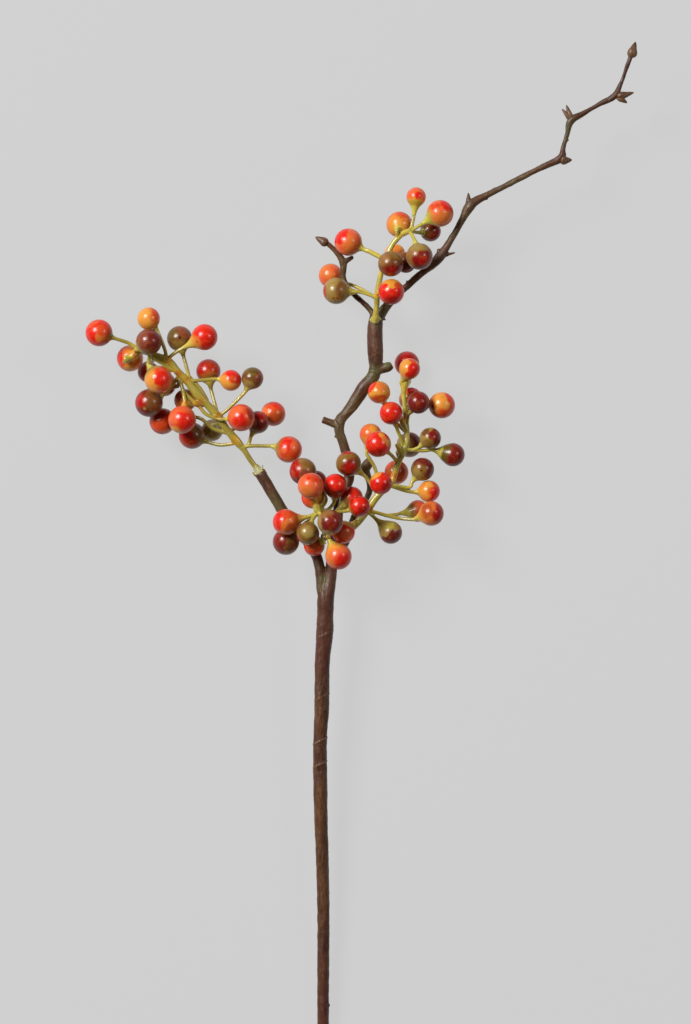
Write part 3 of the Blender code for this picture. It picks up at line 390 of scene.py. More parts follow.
RIGHT = Bunch("right", (
    (5.2, 249.2, 17.8, 2.4), (8, 250.3, 20, 2.4), (10.2, 251.6, 20.7, 2.6), (13.8, 255.2, 21, 3),
    (17.8, 260.4, 21.2, 3.2), (21.4, 265.4, 21.4, 3), (25.8, 269.8, 21.5, 2.8), (28, 272.8, 21.5, 2.6),
    (29, 276.8, 21.5, 2.6), (30.6, 280.4, 21.5, 2.4), (32.4, 284.4, 21.4, 2.6), (33.4, 289, 21.2, 2.2),
    (33, 296, 20.8, 2.2), (32.2, 304, 20.4, 1.9), (32, 309.4, 20, 2),
), (
    ((33, 292, 21.6, 1.8), (31.7, 294.6, 23.8, 2.4), (31, 297.2, 25.2, 1.6)),
    ((32, 306.6, 20.3, 2), (32.3, 310, 20.6, 3.2), (32.8, 312.8, 20.6, 4.2)),
    ((31.6, 281.8, 22, 2.2), (30.4, 284.6, 23, 2.6), (29.4, 286.6, 23, 2.2)),
), (
    (31.3, 296.2, 3), (29.4, 284.6, 1.6), (18.2, 260.8, 2.4), (28.2, 273.6, 2.2),
), (
    Berry((33.5, 318.9, 5), 10, (0.3, 18, "crimson"),
          ("red", (-0.1, -0.6, 44, "crimson", 1.2), (0.6, 0.4, 38, "crimson", 1.2)),
          ((32.2, 308.2, 20.1), (34.4, 311.4, 12.6))),
    Berry((34.4, 316.4, 24), 8.4, (0.6, 54, "tangerine"),
          ("amber", (0.55, -0.1, 40, "red", 2.4), (-0.05, -0.7, 26, "red", 2),
           (0.3, 0.85, 24, "vermilion", 1.6)),
          ((32, 308, 20.1), (31, 310.8, 21.4))),
    Berry((22.2, 307, 24), 9, (0.4, 26, "tangerine"),
          ("tangerine", (-0.78, 0.52, 36, "red", 2.8), (0, -0.9, 50, "rust", 1.6),
           (0.2, 0.5, 30, "orange", 1.2)),
          ((33, 291, 21), (27.6, 296.6, 20.4), (24.7, 301.9, 22.6))),
    Berry((27, 298.6, 28), 9.2, (0.4, 26, "rust"),
          ("red", (0.1, -0.92, 30, "crimson", 1.4), (-0.3, 0.7, 26, "vermilion", 1.2)),
          ((32.4, 285.6, 21.4), (29.9, 291, 24.2), (28.9, 293.8, 26))),
    Berry((35, 304.4, 13), 9.6, (0.4, 20, "vermilion"),
          ("red", (-0.6, 0, 40, "tangerine", 1.8), (0.2, 0.8, 36, "red", 1), (-0.2, -0.8, 26, "khaki", 1.5)),
          ((33, 295, 20.8), (34, 299.2, 16.8))),
    Berry((37.9, 302.9, 26), 9, (0.3, 22, "maroon"), ("maroon", (0.2, 0.3, 52, "wine", 1)),
          ((33.2, 293.4, 21), (33.8, 297.8, 23.4))),
    Berry((47.3, 301.9, 20), 10.6, (0.3, 24, "rust"),
          ("amber", (0.7, 0.56, 36, "red", 3), (0.95, -0.1, 34, "vermilion", 2),
           (0.05, -0.9, 50, "vermilion", 1.8), (-0.92, -0.4, 58, "brick", 1.6)),
          ((32.4, 302, 20.5), (36.8, 302.3, 19.7), (41.6, 302.2, 19.8))),
    Berry((18.8, 290.2, 22), 8.8, (0.8, 46, "amber"),
          ("orange", (-0.9, 0.2, 34, "coral", 1.6), (0, -0.9, 40, "amber", 1.6),
           (0.3, 0.6, 28, "tangerine", 1.3)),
          ((22.6, 266.8, 21.4), (20.8, 276, 22), (18.6, 280.2, 22), (16.6, 283.6, 22))),
    Berry((21.8, 286.2, 31), 10.3, (0.4, 28, "rust"),
          ("red", (0.3, 0.72, 18, "tangerine", 2), (0.54, 0.4, 18, "orange", 2),
           (0.8, 0.1, 18, "tangerine", 2), (-0.1, -0.8, 34, "crimson", 1.2)),
          ((29.2, 279.6, 21.6), (27.6, 281.4, 25), (25.6, 283.2, 28))),
    Berry((34.4, 286.2, 12), 10.2, (0.7, 46, "khaki"),
          ("umber", (0.4, 0.3, 50, "maroon", 1.6), (-0.5, -0.6, 30, "khaki", 1.5),
           (0, -0.9, 30, "brown", 1.5)),
          ((30.2, 280.4, 21.2), (29.4, 283.6, 18), (30.2, 285.2, 15))),
    Berry((42.7, 288.7, 22), 8.6, (0.4, 30, "khaki"),
          ("khaki", (0.8, 0, 54, "maroon", 2), (0.25, 0.3, 28, "wine", 1.8), (-0.3, -0.6, 30, "olive", 1.4),
           (-0.5, 0.6, 26, "umber", 1.4)),
          ((35.6, 283.9, 21.2), (39.2, 285.4, 21.6))),
    Berry((51.8, 282.1, 20), 9.4, (0.85, 66, "moss"),
          ("maroon", (-0.85, 0.25, 50, "moss", 1.8), (0.25, -0.2, 44, "wine", 0.8)),
          ((32.4, 284.2, 21.4), (39.6, 283.7, 20.8), (46.6, 284.5, 20.3))),
    Berry((10, 278.5, 26), 10.1, (0.6, 34, "olive"),
          ("olive", (-0.1, 0.95, 30, "crimson", 2.4), (0.08, -0.35, 46, "wine", 2),
           (0.8, 0.2, 26, "umber", 1.4), (0.15, -0.35, 26, "crimson", 1.2)),
          ((21.8, 265.8, 21.4), (18, 271.8, 23.2), (14.8, 275.4, 25))),
    Berry((29.2, 275.1, 14), 9.7, (0.3, 18, "rust"),
          ("vermilion", (0.4, 0.1, 50, "coral", 1.3), (-0.62, 0.14, 11, "brown", 3),
           (-0.62, 0.14, 6, "khaki", 3), (0, -0.8, 40, "orange", 1.5)),
          ((27.6, 272.2, 21.5), (28.2, 273.4, 18))),
    Berry((39.6, 276.3, 21), 9.3, (0.4, 34, "khaki"),
          ("olive", (0.3, 0.8, 56, "maroon", 1.8), (0.8, -0.3, 44, "maroon", 1.6),
           (-0.12, -0.12, 6, "pit", 1.8), (-0.5, -0.3, 24, "khaki", 1.3)),
          ((26.8, 270.2, 21.5), (34, 268.9, 21.4), (36.3, 272.6, 21.2))),
    Berry((22.9, 270.7, 32), 9, (0.3, 30, "neck"),
          ("red", (-0.5, 0.78, 34, "tangerine", 2.2), (-0.4, 0.05, 6, "crimson", 3),
           (-0.28, -0.06, 6, "crimson", 3), (0.6, -0.3, 36, "crimson", 1.2)),
          ((25.2, 269.2, 21.6), (24.2, 269.9, 27))),
    Berry((42.2, 267.5, 20), 8.7, (0.45, 30, "amber"),
          ("amber", (0.8, -0.45, 62, "red", 2.2), (0.6, 0.7, 24, "vermilion", 1.6),
           (-0.7, 0.5, 22, "orange", 1.3)),
          ((26.4, 269.8, 21.5), (32.4, 267.8, 20.9), (37.8, 266.8, 20.3))),
    Berry((37.8, 259.6, 15), 8.8, (0.9, 50, "khaki"),
          ("red", (-0.8, -0.35, 38, "khaki", 1.8), (0.3, 0.6, 36, "coral", 1.2)),
          ((24.4, 257.8, 20.6), (29.2, 258.2, 18.8), (33.4, 259.6, 16.8))),
    Berry((43.1, 258.6, 25), 9.9, (0.6, 46, "tangerine"),
          ("orange", (0.92, 0, 62, "crimson", 2), (-0.5, 0.3, 38, "rust", 1.3)),
          ((17.6, 260, 21.2), (28.6, 257, 20.6), (38, 256, 23.2))),
    Berry((26.9, 251, 21), 9.2, (0.85, 60, "khaki"),
          ("khaki", (0.15, -0.75, 58, "maroon", 3.4), (0.7, -0.45, 44, "maroon", 3),
           (-0.55, -0.6, 22, "maroon", 2.6), (-0.2, 0.7, 30, "lime", 1.4)),
          ((17.2, 259.8, 21.2), (20.8, 256.6, 20.9), (23.8, 254.4, 20.9))),
    Berry((8, 251.2, 26), 9.2, (0.7, 36, "rust"),
          ("red", (0.4, 0.85, 32, "khaki", 1.8), (-0.3, -0.4, 50, "vermilion", 1),
           (0.3, -0.2, 30, "coral", 1.2)),
          ((14, 255.8, 21), (11.4, 255, 23.4))),
))

TOP = Bunch("top", (
    (20.7, 334.9, 20.9, 2.2), (20.7, 336.7, 23.7, 2.2), (20.9, 339, 25, 2.2), (21.3, 342, 25.4, 2.2),
    (21.4, 346, 26.2, 2.4), (22.3, 351, 26.8, 2.2), (23.4, 356, 27.1, 2.2), (25.4, 361, 27.4, 2.4),
    (27.4, 365.6, 27.5, 2.2), (29.8, 368.6, 27.5, 2.3), (31.8, 370.4, 27.4, 2.3), (34.8, 371.4, 27.2, 2.6),
), (
    ((19.4, 335.6, 22.4, 2.2), (20, 336.8, 23.6, 1.8)), ((22.2, 336, 22.6, 2.2), (21.4, 337.2, 23.8, 1.8)),
    ((20.7, 335, 22.8, 2.6), (20.8, 336.6, 23.8, 2.8), (20.9, 338.2, 24.6, 2.3)),
), (
    (21.6, 345.6, 1.8),
), (
    Berry((9.9, 367, 24), 11, (0.4, 30, "rust"),
          ("coral", (-0.75, 0.5, 50, "red", 2.8), (0.35, -0.4, 44, "orange", 1.4),
           (0.5, 0.6, 30, "coral", 1.3)),
          ((24.8, 359.8, 27.3, 2), (18.6, 363, 26, 2), (15.2, 364.4, 25, 2))),
    Berry((2.8, 354, 14), 9.6, (0.4, 24, "rust"),
          ("orange", (-0.6, -0.7, 40, "coral", 1.5), (0.5, 0.5, 30, "coral", 1.3)),
          ((21.2, 344, 25.8), (18.2, 346.6, 19.6), (13.2, 349.4, 16), (7.6, 351.4, 15.6))),
    Berry((5.1, 347.4, 26), 10.6, (0.7, 36, "khaki"),
          ("khaki", (-0.98, -0.1, 32, "brick", 2), (0.6, 0.2, 42, "umber", 1.4),
           (-0.2, -0.58, 5, "brick", 2), (0.1, -0.58, 5, "brick", 2)),
          ((21.3, 344.8, 25.9), (16.2, 346.6, 26), (10.4, 347.8, 26))),
    Berry((26.8, 357.9, 34), 10.2, (0.3, 20, "umber"),
          ("umber", (0.15, -0.75, 50, "wine", 1.9), (-0.6, 0.4, 34, "brown", 1.4),
           (0.4, 0.75, 30, "olive", 1.4), (0.2, -0.7, 26, "crimson", 1.2)),
          ((23.4, 356.4, 27.1), (24.6, 357, 30))),
    Berry((27, 346.8, 33), 10.4, (0.4, 24, "tangerine"),
          ("red", (-0.05, 0.95, 52, "tangerine", 2.6), (-0.5, 0.45, 14, "red", 2),
           (0.5, 0.5, 16, "vermilion", 2), (0, -0.8, 34, "crimson", 1.2)),
          ((21.4, 346.6, 26.2), (23.6, 347.2, 29.6))),
    Berry((28.6, 362.4, 18), 8.4, (0.3, 20, "orange"), ("amber", (0.8, -0.4, 40, "vermilion", 1.6)),
          ((25.2, 361.2, 27.3), (26.8, 362.2, 22.6))),
    Berry((32.8, 358.8, 25), 8.4, (0.3, 20, "maroon"), ("maroon", (-0.3, 0.8, 45, "umber", 1.5)),
          ((24.2, 358.4, 27.2), (28.4, 358.8, 26.2))),
    Berry((38.2, 360.9, 33), 10.6, (0.4, 28, "khaki"),
          ("brown", (0, 0.9, 40, "khaki", 1.5), (0.3, -0.4, 48, "wine", 1.8),
           (0.1, -0.95, 34, "maroon", 1.8), (0.35, -0.4, 24, "crimson", 1.2)),
          ((34.4, 371.2, 27.2), (36.4, 367.4, 30.4))),
    Berry((30.3, 374.1, 22), 10.4, (0.4, 20, "tangerine"),
          ("orange", (0.3, 0.75, 28, "vermilion", 1.8), (0.1, 0.5, 5, "crimson", 3),
           (0.28, 0.28, 4, "crimson", 3), (0, -0.3, 34, "orange", 1.3)),
          ((29.6, 368.8, 27.6), (29.2, 371.2, 29.4))),
    Berry((37, 384.9, 26), 7.8, (1, 46, "neck"),
          ("coral", (0, -0.6, 46, "tangerine", 1.4), (0, -0.95, 50, "neck", 1.6), (0.2, 0.1, 22, "red", 1.1)),
          ((34.8, 371.2, 27.2), (35.8, 375.8, 26.8), (36.5, 380.2, 26.4))),
    Berry((46.5, 378.3, 27), 10.8, (0.6, 40, "lime"),
          ("coral", (0.6, 0.65, 38, "red", 2.4), (0.2, -0.6, 45, "orange", 1.3),
           (-0.4, 0.5, 26, "vermilion", 1.3)),
          ((34.6, 371.2, 27.2), (38.4, 373.5, 27.2), (41.6, 375.6, 27.2))),
    Berry((42.8, 371.6, 19), 8.4, (0.5, 26, "umber"), ("wine", (-0.7, 0, 40, "umber", 1.6)),
          ((34.6, 371.2, 27), (38.2, 370.8, 23))),
))

BUNCHES = (LEFT, FRONT, RIGHT, TOP)


def linear(red, green, blue):
    """A colour given as 0 to 255 screen values, as Blender's linear values."""
    return tuple((value / 255) ** 2.2 for value in (red, green, blue))


def shade(name, red, green, blue):
    """A colour setting with its starting value given as screen values."""
    return FloatVectorProperty(
        name=name, description=f"Colour of the {name.lower()}", subtype="COLOR",
        default=linear(red, green, blue), min=0.0, max=1.0,
    )


def length(name, description, millimetres):
    """A length that a user can set, from its default in millimetres."""
    return FloatProperty(
        name=name, description=description, unit="LENGTH", subtype="DISTANCE",
        default=millimetres * MM, min=0.0, precision=5,
    )


class SprigBark(PropertyGroup):
    """Sizes and colours of the woody stem."""

    voxel: length("Mesh size", "Size of the faces that the limbs are fused with", 0.36)
    relief: length("Relief depth", "How deep the bark's lengthwise wrinkles are", 0.3)
    lenticel: length("Lenticel length", "Length of the small pale pores", 0.7)
    lenticel_density: FloatProperty(
        name="Lenticels", description="How many pores there are on a square metre", default=26000.0, min=0.0,
    )
    dark: shade("Bark hollows", 46, 27, 20)
    brown: shade("Bark", 98, 62, 34)
    pale: shade("Bark ridges", 124, 92, 60)
    red: shade("Reddish bark", 84, 40, 30)
    green: shade("Green bark", 92, 90, 50)
    wood: shade("Cut wood", 196, 170, 122)
    bud: shade("Bud", 92, 62, 44)


class SprigStalks(PropertyGroup):
    """Sizes and colours of the green stalks."""

    voxel: length("Mesh size", "Size of the faces that the stalks are fused with", 0.22)
    stalk: length("Stalk thickness", "Diameter of a berry's stalk", 1.5)
    green: shade("Stalk", 196, 184, 80)
    olive: shade("Stalk shadows", 150, 130, 50)
    joint: shade("Stalk joint", 186, 96, 30)
    dull: shade("Old stalk", 122, 104, 40)
    amber: shade("Stalk glaze", 212, 164, 44)
    pale: shade("Stalk collar", 184, 180, 128)


class SprigTones(PropertyGroup):
    """The colours that the berries are painted in."""

    red: shade("Red", 222, 36, 25)
    crimson: shade("Crimson", 168, 24, 20)
    vermilion: shade("Vermilion", 215, 72, 34)
    coral: shade("Coral", 230, 100, 58)
    orange: shade("Orange", 218, 112, 52)
    tangerine: shade("Tangerine", 222, 148, 56)
    amber: shade("Amber", 226, 148, 62)
    rust: shade("Rust", 176, 74, 32)
    brick: shade("Brick", 168, 48, 22)
    maroon: shade("Maroon", 108, 37, 32)
    dusky: shade("Dusky red", 128, 66, 46)
    brown: shade("Brown", 141, 99, 54)
    wine: shade("Wine", 124, 24, 22)
    umber: shade("Umber", 112, 70, 36)
    olive: shade("Olive", 128, 94, 42)
    khaki: shade("Khaki", 152, 126, 66)
    moss: shade("Moss", 98, 78, 30)
    lime: shade("Lime", 176, 168, 66)
    pit: shade("Pit", 56, 22, 14)
    neck: shade("Neck", 190, 156, 58)


class SprigBerries(PropertyGroup):
    """Sizes of the berries' meshes."""

    segments: IntProperty(name="Segments", description="Faces round a berry", default=40, min=8, max=96)
    rings: IntProperty(
        name="Rings", description="Faces from end to end of a berry", default=30, min=6, max=96,
    )
    dent: FloatProperty(
        name="Unevenness", description="How far a berry is from round, in radii", default=0.02, min=0.0,
    )


class SprigStage(PropertyGroup):
    """Camera, floor and lights."""

    height: length("Camera height", "Height of the camera over the floor", 2520.0)
    lens: FloatProperty(name="Lens", description="Focal length of the camera", default=219.73, min=1.0)
    key: FloatProperty(name="Key light", description="Power of the upper left light", default=41.0, min=0.0)
    fill: FloatProperty(name="Fill light", description="Power of the right light", default=5.4, min=0.0)
    sky: FloatProperty(name="Surroundings", description="Strength of the even light", default=0.74, min=0.0)
    horizon: FloatProperty(
        name="Horizon", description="Strength of the even light at the horizon", default=0.76, min=0.0,
    )
    glow: FloatProperty(
        name="Floor glow", description="How much light the floor gives", default=0.575, min=0.0,
    )
    floor: shade("Floor", 66, 66, 66)


def joining(operation, swapped=False):
    """A method that works a value and any others out in one maths node."""

    def method(self, *others):
        return self.work(operation, *((*others, self) if swapped else (self, *others)))

    return method


class Value:
    """A node's output that takes part in sums written in the plain way."""

    __add__, __sub__, at_least = joining("ADD"), joining("SUBTRACT"), joining("MAXIMUM")

    def __init__(self, tree, socket):
        self.tree = tree
        self.socket = socket

    def node(self, operation, *values):
        """A maths node with its inputs joined or set."""
        node = self.tree.nodes.new(self.kind)
        node.operation = operation
        for place, value in zip(node.inputs, values):
            feed(self.tree, place, value)
        return node

    def work(self, operation, *values):
        """What a maths node makes of the values, as a value of the same sort."""
        return type(self)(self.tree, self.node(operation, *values).outputs[0])


class Number(Value):
    """A number that a node gives."""

    kind = "ShaderNodeMath"
    __mul__, __truediv__ = joining("MULTIPLY"), joining("DIVIDE")
    __rsub__, __rtruediv__ = joining("SUBTRACT", swapped=True), joining("DIVIDE", swapped=True)
    at_most, below, above = joining("MINIMUM"), joining("LESS_THAN"), joining("GREATER_THAN")
    sine, cosine, arc_cosine = joining("SINE"), joining("COSINE"), joining("ARCCOSINE")

    def held(self):
        """The same number kept between 0 and 1."""
        node = self.node("ADD", self, 0.0)
        node.use_clamp = True
        return Number(self.tree, node.outputs[0])


class Arrow(Value):
    """A vector that a node gives."""

    kind = "ShaderNodeVectorMath"
    unit = joining("NORMALIZE")

    def __mul__(self, number):
        node = self.node("SCALE", self)
        feed(self.tree, node.inputs["Scale"], number)
        return Arrow(self.tree, node.outputs[0])

    def dot(self, other):
        return Number(self.tree, self.node("DOT_PRODUCT", self, other).outputs["Value"])

    def length(self):
        return Number(self.tree, self.node("LENGTH", self).outputs["Value"])


def feed(tree, place, value):
    """Joins a socket to a node's input, or sets the input to a plain value."""
    if isinstance(value, Value):
        value = value.socket
    if isinstance(value, bpy.types.NodeSocket):
        tree.links.new(value, place)
    else:
        place.default_value = value


def add_node(tree, kind, inputs=None, **settings):
    """A node with its settings, and each named input joined or set."""
    node = tree.nodes.new(kind)
    for name, value in settings.items():
        setattr(node, name, value)
    for name, value in (inputs or {}).items():
        feed(tree, node.inputs[name], value)
    return node


def named(tree, name, kind="FLOAT"):
    """An attribute read inside a Geometry Nodes tree."""
    node = add_node(tree, "GeometryNodeInputNamedAttribute", {"Name": name}, data_type=kind)
    wrap = Arrow if kind == "FLOAT_VECTOR" else Number
    return wrap(tree, node.outputs["Attribute"])


def new_tree(name, sizes):
    """An empty Geometry Nodes tree with a geometry input and output and one input for each size."""
    tree = bpy.data.node_groups.new(name, "GeometryNodeTree")
    tree.interface.new_socket("Geometry", in_out="INPUT", socket_type="NodeSocketGeometry")
    for size, kind in sizes:
        tree.interface.new_socket(size, in_out="INPUT", socket_type="NodeSocket" + kind)
    tree.interface.new_socket("Geometry", in_out="OUTPUT", socket_type="NodeSocketGeometry")
    return tree, tree.nodes.new("NodeGroupInput"), tree.nodes.new("NodeGroupOutput")


def end_tree(tree, output, geometry, material):
    """Closes a tree with Realize Instances, smooth shading and Set Material."""
    solid = add_node(tree, "GeometryNodeRealizeInstances", {"Geometry": geometry})
    smooth = add_node(tree, "GeometryNodeSetShadeSmooth", {"Geometry": solid.outputs[0]})
    painted = add_node(tree, "GeometryNodeSetMaterial", {"Geometry": smooth.outputs[0], "Material": material})
    tree.links.new(painted.outputs[0], output.inputs[0])


def grow(thing, tree, values):
    """Puts a tree on an object, with its inputs set by their identifiers."""
    modifier = thing.modifiers.new(tree.name, "NODES")
    modifier.node_group = tree
    for item in tree.interface.items_tree:
        if item.in_out == "INPUT" and item.name in values:
            modifier[item.identifier] = values[item.name]


def bake(thing, material):
    """Turns what an object's modifiers make into its own plain mesh."""
    bpy.context.view_layer.update()
    evaluated = thing.evaluated_get(bpy.context.evaluated_depsgraph_get())
    mesh = bpy.data.meshes.new_from_object(evaluated)
    thing.modifiers.clear()
    thing.data = mesh
    mesh.name = thing.name
    mesh.materials.clear()
    mesh.materials.append(material)
    mesh.shade_smooth()


def new_object(name, data):
    """An object in the scene with the given mesh, light or camera."""
    thing = bpy.data.objects.new(name, data)
    bpy.context.scene.collection.objects.link(thing)
    return thing


def finish_piece(thing, slot, *nodes):
    """Lets a finished piece ride on the sprig, and stand for the solids that it replaces."""
    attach(thing, "root")
    if nodes:
        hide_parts(*nodes)


def store(mesh, name, kind, values):
    """Writes one value for each vertex into an attribute."""
    attribute = mesh.attributes.new(name, kind, "POINT")
    key = {"FLOAT": "value", "FLOAT_VECTOR": "vector", "FLOAT_COLOR": "color"}[kind]
    flat = values if kind == "FLOAT" else [part for value in values for part in value]
    attribute.data.foreach_set(key, flat)


def limb_mesh(name, limbs):
    """The centre lines of limbs as edges, with each point's radius as its girth."""
    points = []
    edges = []
    for limb in limbs:
        first = len(points)
        points.extend(limb)
        edges.extend((number, number + 1) for number in range(first, len(points) - 1))
    mesh = bpy.data.meshes.new(name)
    mesh.from_pydata([Vector(point[:3]) * MM for point in points], edges, [])
    store(mesh, "girth", "FLOAT", [point[3] / 2 * MM for point in points])
    return mesh


def limb_tree():
    """Draws each centre line as a smooth curve and sweeps a circle along it."""
    tree, given, output = new_tree("limbs", (("Step", "Float"), ("Sides", "Int"), ("Material", "Material")))
    curve = add_node(tree, "GeometryNodeMeshToCurve", {"Mesh": given.outputs["Geometry"]})
    bend = add_node(
        tree, "GeometryNodeCurveSplineType", {"Curve": curve.outputs[0]}, spline_type="CATMULL_ROM",
    )
    fine = add_node(
        tree, "GeometryNodeResampleCurve", {"Curve": bend.outputs[0], "Length": given.outputs["Step"]},
        mode="LENGTH",
    )
    ring = add_node(
        tree, "GeometryNodeCurvePrimitiveCircle", {"Resolution": given.outputs["Sides"]}, mode="RADIUS",
    )
    ring.inputs["Radius"].default_value = 1.0
    tube = add_node(tree, "GeometryNodeCurveToMesh", {
        "Curve": fine.outputs[0], "Profile Curve": ring.outputs[0], "Scale": named(tree, "girth"),
        "Fill Caps": True,
    })
    end_tree(tree, output, tube.outputs[0], given.outputs["Material"])
    return tree


def fused_limbs(name, limbs, voxel, material):
    """Limbs grown from their centre lines and fused into one smooth skin."""
    thing = new_object(name, limb_mesh(name, limbs))
    grow(thing, limb_tree(), {"Step": LIMB_STEP, "Sides": LIMB_SIDES, "Material": material})
    fuse = thing.modifiers.new("fuse", "REMESH")
    fuse.mode = "VOXEL"
    fuse.voxel_size = voxel
    soften = thing.modifiers.new("soften", "SMOOTH")
    soften.factor = SMOOTH_FACTOR
    soften.iterations = SMOOTH_ROUNDS
    bake(thing, material)
    return thing


def catmull(before, start, end, after, share):
    """A point between start and end on the smooth curve through four points."""
    return 0.5 * (
        2 * start
        + (end - before) * share
        + (2 * before - 5 * start + 4 * end - after) * share**2
        + (3 * start - before - 3 * end + after) * share**3
    )


def trace(limb, step=0.5):
    """Samples along a limb's centre line: place, direction and distance from its start, in millimetres."""
    points = [Vector(point[:3]) for point in limb]
    points = [2 * points[0] - points[1], *points, 2 * points[-1] - points[-2]]
    places = []
    for number in range(1, len(points) - 2):
        start, end = points[number], points[number + 1]
        count = max(1, round((end - start).length / step))
        places.extend(
            catmull(points[number - 1], start, end, points[number + 2], k / count) for k in range(count)
        )
    places.append(points[-2])
    samples = []
    reach = 0.0
    for number, place in enumerate(places):
        later = places[min(number + 1, len(places) - 1)]
        sooner = places[max(number - 1, 0)]
        if number:
            reach += (place - places[number - 1]).length
        samples.append((place, (later - sooner).normalized(), reach))
    return samples


def limb_map(limbs):
    """All the limbs' samples with a tree that finds the nearest one."""
    samples = []
    for number, limb in enumerate(limbs):
        samples.extend((place, way, reach + LIMB_OFFSET * number) for place, way, reach in trace(limb))
    finder = KDTree(len(samples))
    for number, sample in enumerate(samples):
        finder.insert(sample[0], number)
    finder.balance()
    return samples, finder


def near(place, spots):
    """How close a place is to the spots, each (x, y, reach, strength), from 0 to 1."""
    share = 0.0
    for x, y, reach, strength in spots:
        distance = math.hypot(place.x - x, place.y - y)
        share = max(share, strength * max(0.0, 1 - (distance / reach) ** 2))
    return share


def mark_limbs(mesh, limbs):
    """Stores where each vertex is round and along its limb, for textures that follow the grain."""
    samples, finder = limb_map(limbs)
    around = []
    along = []
    ways = []
    for vertex in mesh.vertices:
        place = vertex.co / MM
        found = samples[finder.find(place)[1]]
        out = place - found[0]
        around.append(out - found[1] * out.dot(found[1]))
        along.append(found[2] + out.dot(found[1]))
        ways.append(found[1])
    store(mesh, "around", "FLOAT_VECTOR", around)
    store(mesh, "along", "FLOAT", along)
    store(mesh, "way", "FLOAT_VECTOR", ways)


def relief_tree():
    """Raises and lowers a surface along its grain."""
    tree, given, output = new_tree("bark_relief", (("Depth", "Float"), ("Material", "Material")))
    wrinkle = add_node(tree, "ShaderNodeTexNoise", {
        "Vector": named(tree, "around", "FLOAT_VECTOR"), "W": named(tree, "along") * 0.16, "Scale": 0.75,
        "Detail": 3.0, "Roughness": 0.55,
    }, noise_dimensions="4D")
    lump = add_node(tree, "ShaderNodeTexNoise", {
        "Vector": named(tree, "around", "FLOAT_VECTOR"), "W": named(tree, "along") * 0.6, "Scale": 0.35,
    }, noise_dimensions="4D")
    height = Number(tree, wrinkle.outputs["Fac"]) - 0.5 + (Number(tree, lump.outputs["Fac"]) - 0.5) * 2.2
    height = height + named(tree, "scar") * 0.9
    normal = Arrow(tree, tree.nodes.new("GeometryNodeInputNormal").outputs[0])
    offset = normal * (height * Number(tree, given.outputs["Depth"]))
    moved = add_node(tree, "GeometryNodeSetPosition", {
        "Geometry": given.outputs["Geometry"], "Offset": offset,
    })
    end_tree(tree, output, moved.outputs[0], given.outputs["Material"])
    return tree


def lenticel_tree():
    """Scatters small raised pores over the bark, lying along the grain."""
    tree, given, output = new_tree("lenticels", (
        ("Density", "Float"), ("Length", "Float"), ("Seed", "Int"), ("Material", "Material"),
    ))
    spread = add_node(tree, "GeometryNodeDistributePointsOnFaces", {
        "Mesh": given.outputs["Geometry"], "Density": given.outputs["Density"], "Seed": given.outputs["Seed"],
    })
    pore = add_node(tree, "GeometryNodeMeshIcoSphere", {"Radius": 0.5, "Subdivisions": 2})
    flat = add_node(tree, "GeometryNodeTransform", {
        "Geometry": pore.outputs["Mesh"], "Scale": PORE_SHAPE,
    })
    up = add_node(tree, "FunctionNodeAlignRotationToVector", {"Vector": spread.outputs["Normal"]}, axis="Z")
    lying = add_node(tree, "FunctionNodeAlignRotationToVector", {
        "Rotation": up.outputs[0], "Vector": named(tree, "way", "FLOAT_VECTOR"),
    }, axis="Y", pivot_axis="Z")
    size = add_node(tree, "FunctionNodeRandomValue", {"Seed": PORE_SIZE_SEED}, data_type="FLOAT")
    size.inputs[2].default_value, size.inputs[3].default_value = PORE_SIZES
    placed = add_node(tree, "GeometryNodeInstanceOnPoints", {
        "Points": spread.outputs["Points"], "Instance": flat.outputs[0], "Rotation": lying.outputs[0],
        "Scale": Number(tree, size.outputs[1]) * Number(tree, given.outputs["Length"]),
    })
    end_tree(tree, output, placed.outputs[0], given.outputs["Material"])
    return tree


